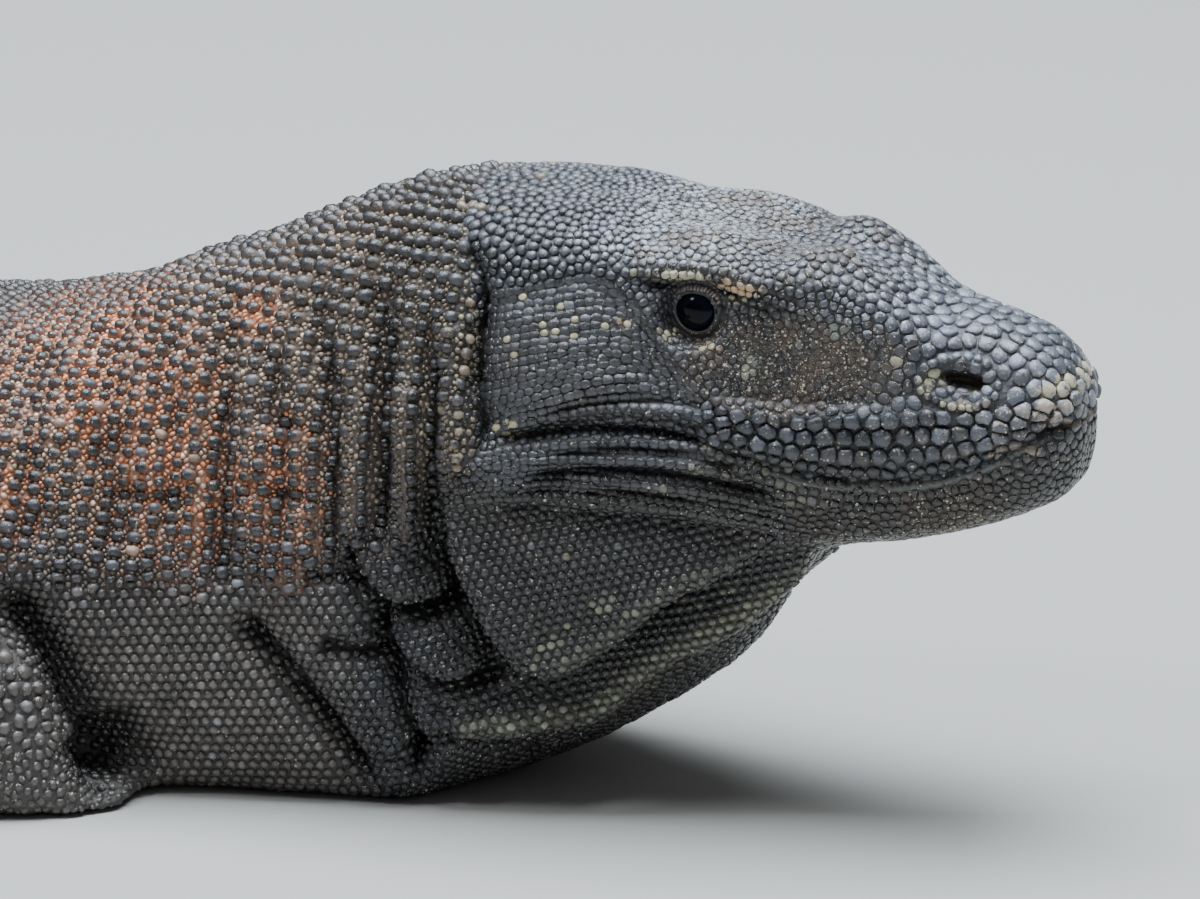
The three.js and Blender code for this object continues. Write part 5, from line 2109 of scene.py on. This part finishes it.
def add_neck_scales(taken):
    """Beads on the neck with granules between them, and the chest's rows. taken is where scales are."""
    upper, _ = ring_lattice(surface, NECK_RINGS_START, NECK_SCALES_END, neck_step, neck_pitch, on_upper_neck)
    upper, upper_normals = surface.landed(upper + chance.normal(0, BEAD_JITTER, upper.shape))
    chest_spots, chest_normals = both_sides(CHEST_ROWS, on_chest)
    chosen = on_chest(body_places(surface.middles)[:, [0, 2]])
    fixed = np.concatenate([taken, upper, chest_spots])
    spots, normals = filled(surface, chosen, chest_spacing, fixed, np.full(len(fixed), CHEST_ROWS[0]))
    free = ~on_limb(spots)
    chest_spots = np.concatenate([chest_spots, spots[free]])
    chest_normals = np.concatenate([chest_normals, normals[free]])
    places = body_places(upper)
    nape = smoothstep(0.3, 0.8, upper_normals[:, 2]) * nape_fade(places[:, 0])
    size = np.exp(chance.normal(0, BEAD_SPREAD, len(upper))) * (1 + NAPE_LARGER * nape)
    long, wide, height = BEAD
    height = (height + NAPE_HIGHER * nape) * size
    rims = bead_rims(places, upper)
    beads = plain_coat(upper, upper_normals, long * size, wide * size, height, 0.28, lean=0.3, rim=rims)
    pale = chance.random(len(upper)) < 0.03 * orange_share(places)
    beads.colour[pale] = 0.5 * SALMON * unevenness(pale.sum(), 0.2)
    meets_chest = smoothstep(34, 4, places[:, 2] - throat_limit(places[:, 0])) * (places[:, 0] > CHEST_START)
    beads.colour = mixed(beads.colour, beads.colour * 1.5, meets_chest * (places[:, 0] < CHEST_END))
    low = smoothstep(0.4, 0.8, -chest_normals[:, 2])
    long, wide, height = CHEST_SCALE
    chest = plain_coat(chest_spots, chest_normals, long, wide, height * (1 - 0.6 * low), 0.22)
    everything = np.concatenate([taken, upper, chest_spots])
    add_scales("scales_neck", beads, everything, 9, DOME, scale_look)
    add_scales("scales_chest", chest, everything, 8, DOME, scale_look)
    add_granules(upper, upper_normals)
    return everything


FREE_GRANULES_END = 400  # granules away from the beads' own rings grow ahead of this
GRANULES_FADE = 385  # and all granules get fewer from here on


def granule_spacing(places, normals):
    return np.full(len(places), 2.5)


def add_granules(beads, bead_normals):
    """The small pale granules that ring the beads of the neck, orange in places."""
    spots, normals = surface.landed(between(beads, bead_normals, tail_way(beads)))
    middles = body_places(surface.middles)
    bare = on_upper_neck(middles) & (middles[:, 0] < FREE_GRANULES_END)
    fixed = np.concatenate([beads, spots])
    fixed_spacing = np.concatenate([np.full(len(beads), 5.2), np.full(len(spots), 2.6)])
    more, more_normals = filled(surface, bare, granule_spacing, fixed, fixed_spacing, 1)
    spots, normals = np.concatenate([spots, more]), np.concatenate([normals, more_normals])
    places = body_places(spots)
    luck = chance.random(len(spots))
    lasting = (luck > smoothstep(GRANULES_FADE, NECK_SCALES_END, places[:, 0])) & ~on_limb(spots)
    spots, normals, places = spots[lasting], normals[lasting], places[lasting]
    colour = lace_colour(places) * unevenness(len(spots), 0.5)
    orange = orange_share(places)
    streak = near_spot(places, (288, 112), (2.5, 30))
    lucky = chance.random(len(spots))
    for colour_there, share in ((ORANGE, 1.7), (SALMON, 0.7)):
        chosen = lucky < share * orange
        colour[chosen] = colour_there * unevenness(chosen.sum(), 0.34)
    colour[lucky > 0.975] = CREAM * 0.75
    colour = mixed(colour, SALMON, 0.8 * streak)
    low = 1 - above_throat(places)
    colour = mixed(colour, CHEST * 0.5, 0.8 * low * (places[:, 0] < CHEST_END))
    colour = mixed(colour, BODY * 0.8, smoothstep(350, NECK_SCALES_END, places[:, 0]))
    # Painted shade at the bottom of folds.
    colour *= (1 - BEAD_FOLD_SHADE * surface.sunk_at(spots))[:, None]
    size = np.exp(chance.normal(0, GRANULE_SPREAD, len(spots)))
    sizes = [length * size for length in GRANULE_SIZE]
    grains = Coat(spots, normals, tail_way(spots), *sizes, colour=colour)
    add_scales("granules_neck", grains, np.concatenate([beads, spots]), 6, GRAIN, scale_look)


BODY_STEP = 6.8  # distances between scales of the trunk: between rings, and round a ring
BODY_PITCH = 5.8
BODY_SCALES_END = 2546


def body_step(along):
    return BODY_STEP * tail_size(along)


def body_pitch(along):
    return BODY_PITCH * tail_size(along)


def on_body(places):
    return places[:, 0] > 0


def add_body_scales(taken):
    """Scales in rings on the trunk and tail, each with a little orange at the foot near the neck."""
    spots, normals = ring_lattice(surface, NECK_SCALES_END, BODY_SCALES_END, body_step, body_pitch, on_body)
    places = body_places(spots)
    size = tail_size(places[:, 0])
    flat_belly = smoothstep(0.4, 0.8, -normals[:, 2])
    rims = np.concatenate([np.tile(0.5 * ORANGE, (len(spots), 1)), orange_share(places)[:, None]], 1)
    long, wide, height = (length * size for length in BODY_SCALE)
    height = height * (1 - 0.75 * flat_belly)
    coat = plain_coat(spots, normals, long, wide, height, lean=0.4, rim=rims)
    everything = np.concatenate([taken, spots])
    add_scales("scales_body", coat, everything, 6, PLAIN_DOME, scale_look)
    return everything


def limb_spacing(places, normals):
    up = places[:, 2]
    foot = 1 - smoothstep(16, 46, up)
    return 5.6 - 2.4 * foot


LIMBS_START = 300
LIMBS_END = 1300
LIMBS_INSIDE = 60  # the limbs lie further than this from the midline
BODY_SPACING = 5.5  # how far limb scales stay from the body's


def add_limb_scales(taken):
    places = body_places(surface.middles)
    chosen = (places[:, 0] > LIMBS_START) & (places[:, 0] < LIMBS_END) & (np.abs(places[:, 1]) > LIMBS_INSIDE)
    index = np.flatnonzero(chosen)
    chosen[index] = on_limb(surface.middles[index])
    along = body_places(taken)[:, 0]
    near = taken[(along > LIMBS_START - 10) & (along < LIMBS_END)]
    spots, normals = filled(surface, chosen, limb_spacing, near, np.full(len(near), BODY_SPACING))
    places = body_places(spots)
    spacing = limb_spacing(places, normals)
    low = smoothstep(0.5, 0.9, -normals[:, 2]) * (places[:, 2] < 6)
    height = LIMB_HEIGHT * spacing * (1 - 0.7 * low)
    long, wide = (spacing * share for share in LIMB_SCALE)
    coat = plain_coat(spots, normals, long, wide, height, lean=0.3)
    coat.colour = mixed(coat.colour, FOOT, 0.6 * (1 - smoothstep(14, 40, places[:, 2])))
    add_scales("scales_limbs", coat, np.concatenate([near, spots]), 6, PLAIN_DOME, scale_look)


END_DEPTH = 3


def end_of(points, way):
    """The middle of those points that lie furthest along a direction."""
    reach = points @ way
    return points[reach > reach.max() - END_DEPTH].mean(0)


def width_across(points, way):
    return np.linalg.norm(np.cross(points - points.mean(0), way), axis=1).mean()


CLAW_SIDES = 14
CLAW_RINGS = 12
CLAW_RADIUS = 0.86  # share of the solid's
CLAW_WIDTH = 0.78  # share of its depth
CLAW_RISE = 0.16  # how far its back rises, as a share of its length
CLAW_TAPER = 0.93
CLAW_LOWEST = 0.3


def add_claw(name):
    """A hooked claw, deeper than wide, from the solid's wide end to its tip."""
    points, _ = merged(*cad_mesh(name))
    way = np.linalg.svd(points - points.mean(0))[2][0]
    far = points @ way > np.median(points @ way)
    if width_across(points[far], way) > width_across(points[~far], way):
        way = -way
    base, tip = end_of(points, -way), end_of(points, way)
    radius = np.linalg.norm(np.cross(points - base, way), axis=1).max() * CLAW_RADIUS
    length = np.linalg.norm(tip - base)
    ahead = unit((tip - base) * (1, 1, 0))
    side = np.cross((0, 0, 1), ahead)
    share = np.linspace(0, 1, CLAW_RINGS)
    rise = CLAW_RISE * length * np.sin(math.pi * share**0.85)
    line = base + share[:, None] * (tip - base) + rise[:, None] * (0, 0, 1)
    ways = unit(np.gradient(line, axis=0))
    tops = np.cross(ways, side)
    size = radius * (1 - share**1.5 * CLAW_TAPER)
    angles = turns_round(CLAW_SIDES)[None, :, None]
    section = CLAW_WIDTH * np.cos(angles) * side + np.sin(angles) * tops[:, None]
    rings = line[:, None] + size[:, None, None] * section
    rings[..., 2] = np.maximum(rings[..., 2], CLAW_LOWEST)
    points = np.concatenate([rings.reshape(-1, 3), [line[0], tip]])
    mesh = new_mesh(f"fine_{name}", points, closed_tube(CLAW_RINGS, CLAW_SIDES))
    mesh.materials.append(claw_look)
    piece = new_piece(f"fine_{name}", mesh)
    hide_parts(name)


CORNEA = 0.9  # how far the front of the eye bulges
EYE_DETAIL = (64, 48)  # points round the eyeball, and rings from pole to pole
EYE_INSET = 0.15  # the eyeball is this much smaller than the solid


def add_eye(side_name, side):
    """The eyeball, with a slight bulge in front and its colours in rings round the pupil."""
    centre = body_points(EYE_PLACE[side_name])[0]
    outward = side * body_directions(EYE_PLACE[side_name][:1])[1][0]
    points, faces = ball(np.zeros(3), EYE_RADIUS, *EYE_DETAIL)
    away = unit(points) @ outward
    angle = np.degrees(np.arccos(np.clip(away, -1, 1)))
    points = points + unit(points) * (CORNEA * (1 - smoothstep(18, 42, angle)) - EYE_INSET)[:, None]
    colour = mixed(np.tile(PUPIL, (len(points), 1)), IRIS, smoothstep(15, 24, angle))
    colour = mixed(colour, EYE_WHITE, smoothstep(46, 52, angle))
    mesh = new_mesh(f"eyeball_{side_name}", points + centre, faces)
    add_colours(mesh, without_dirt(colour))
    mesh.materials.append(eye_look)
    piece = new_piece(f"eyeball_{side_name}", mesh)
    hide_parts(f"eye_{side_name}")


RIM_RADIUS = 0.32
RIM_DETAIL = (72, 10)  # points along the ring, and round it
RIM_INWARD = 0.1  # how far it lies inside the opening
RIM_RAISED = 0.75  # and outside the eyeball
RIM_DARK = srgb(88, 92, 100)
RIM_PALE = srgb(206, 200, 190)
RIM_PALE_TURN = math.radians(50)  # the palest side lies this far round from the back, downwards


def add_lid_rim(side_name, side):
    """The smooth pale edge of the lids, a thin ring that follows the opening over the eye."""
    count, around = RIM_DETAIL
    turns = turns_round(count)
    reach = opening_radius(turns) - RIM_INWARD
    along, left, up = EYE_PLACE[side_name]
    out = np.sqrt((EYE_RADIUS + RIM_RAISED) ** 2 - reach**2)
    places = np.stack([along + reach * np.cos(turns), left + side * out, up + reach * np.sin(turns)], -1)
    line = body_points(places)
    centre = body_points((along, left, up))[0]
    outward = unit(line - centre)
    ways = unit(np.roll(line, -1, 0) - np.roll(line, 1, 0))
    across = np.cross(outward, ways)
    angles = turns_round(around)[None, :, None]
    section = np.cos(angles) * outward[:, None] + np.sin(angles) * across[:, None]
    rings = line[:, None] + RIM_RADIUS * section
    i, k = np.meshgrid(np.arange(count), np.arange(around), indexing="ij")
    a, b = i * around + k, i * around + (k + 1) % around
    c, d = (i + 1) % count * around + k, (i + 1) % count * around + (k + 1) % around
    faces = np.concatenate([np.stack(corners, -1).reshape(-1, 3) for corners in ((a, c, b), (b, c, d))])
    mesh = new_mesh(f"lid_rim_{side_name}", rings.reshape(-1, 3), faces)
    pale = np.repeat(np.maximum(np.cos(turns + RIM_PALE_TURN), 0) ** 2, around)
    colour = mixed(np.tile(RIM_DARK, (len(pale), 1)), RIM_PALE, pale)
    add_colours(mesh, without_dirt(colour))
    mesh.materials.append(skin_look)
    new_piece(f"lid_rim_{side_name}", mesh)


claw_look = claw_material()
eye_look = eye_material()
add_skin()
taken = add_head_scales()
taken = add_neck_scales(taken)
taken = add_body_scales(taken)
add_limb_scales(taken)
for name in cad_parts:
    if name.startswith("claw_"):
        add_claw(name)
for side_name, side in SIDES.items():
    add_eye(side_name, side)
    add_lid_rim(side_name, side)
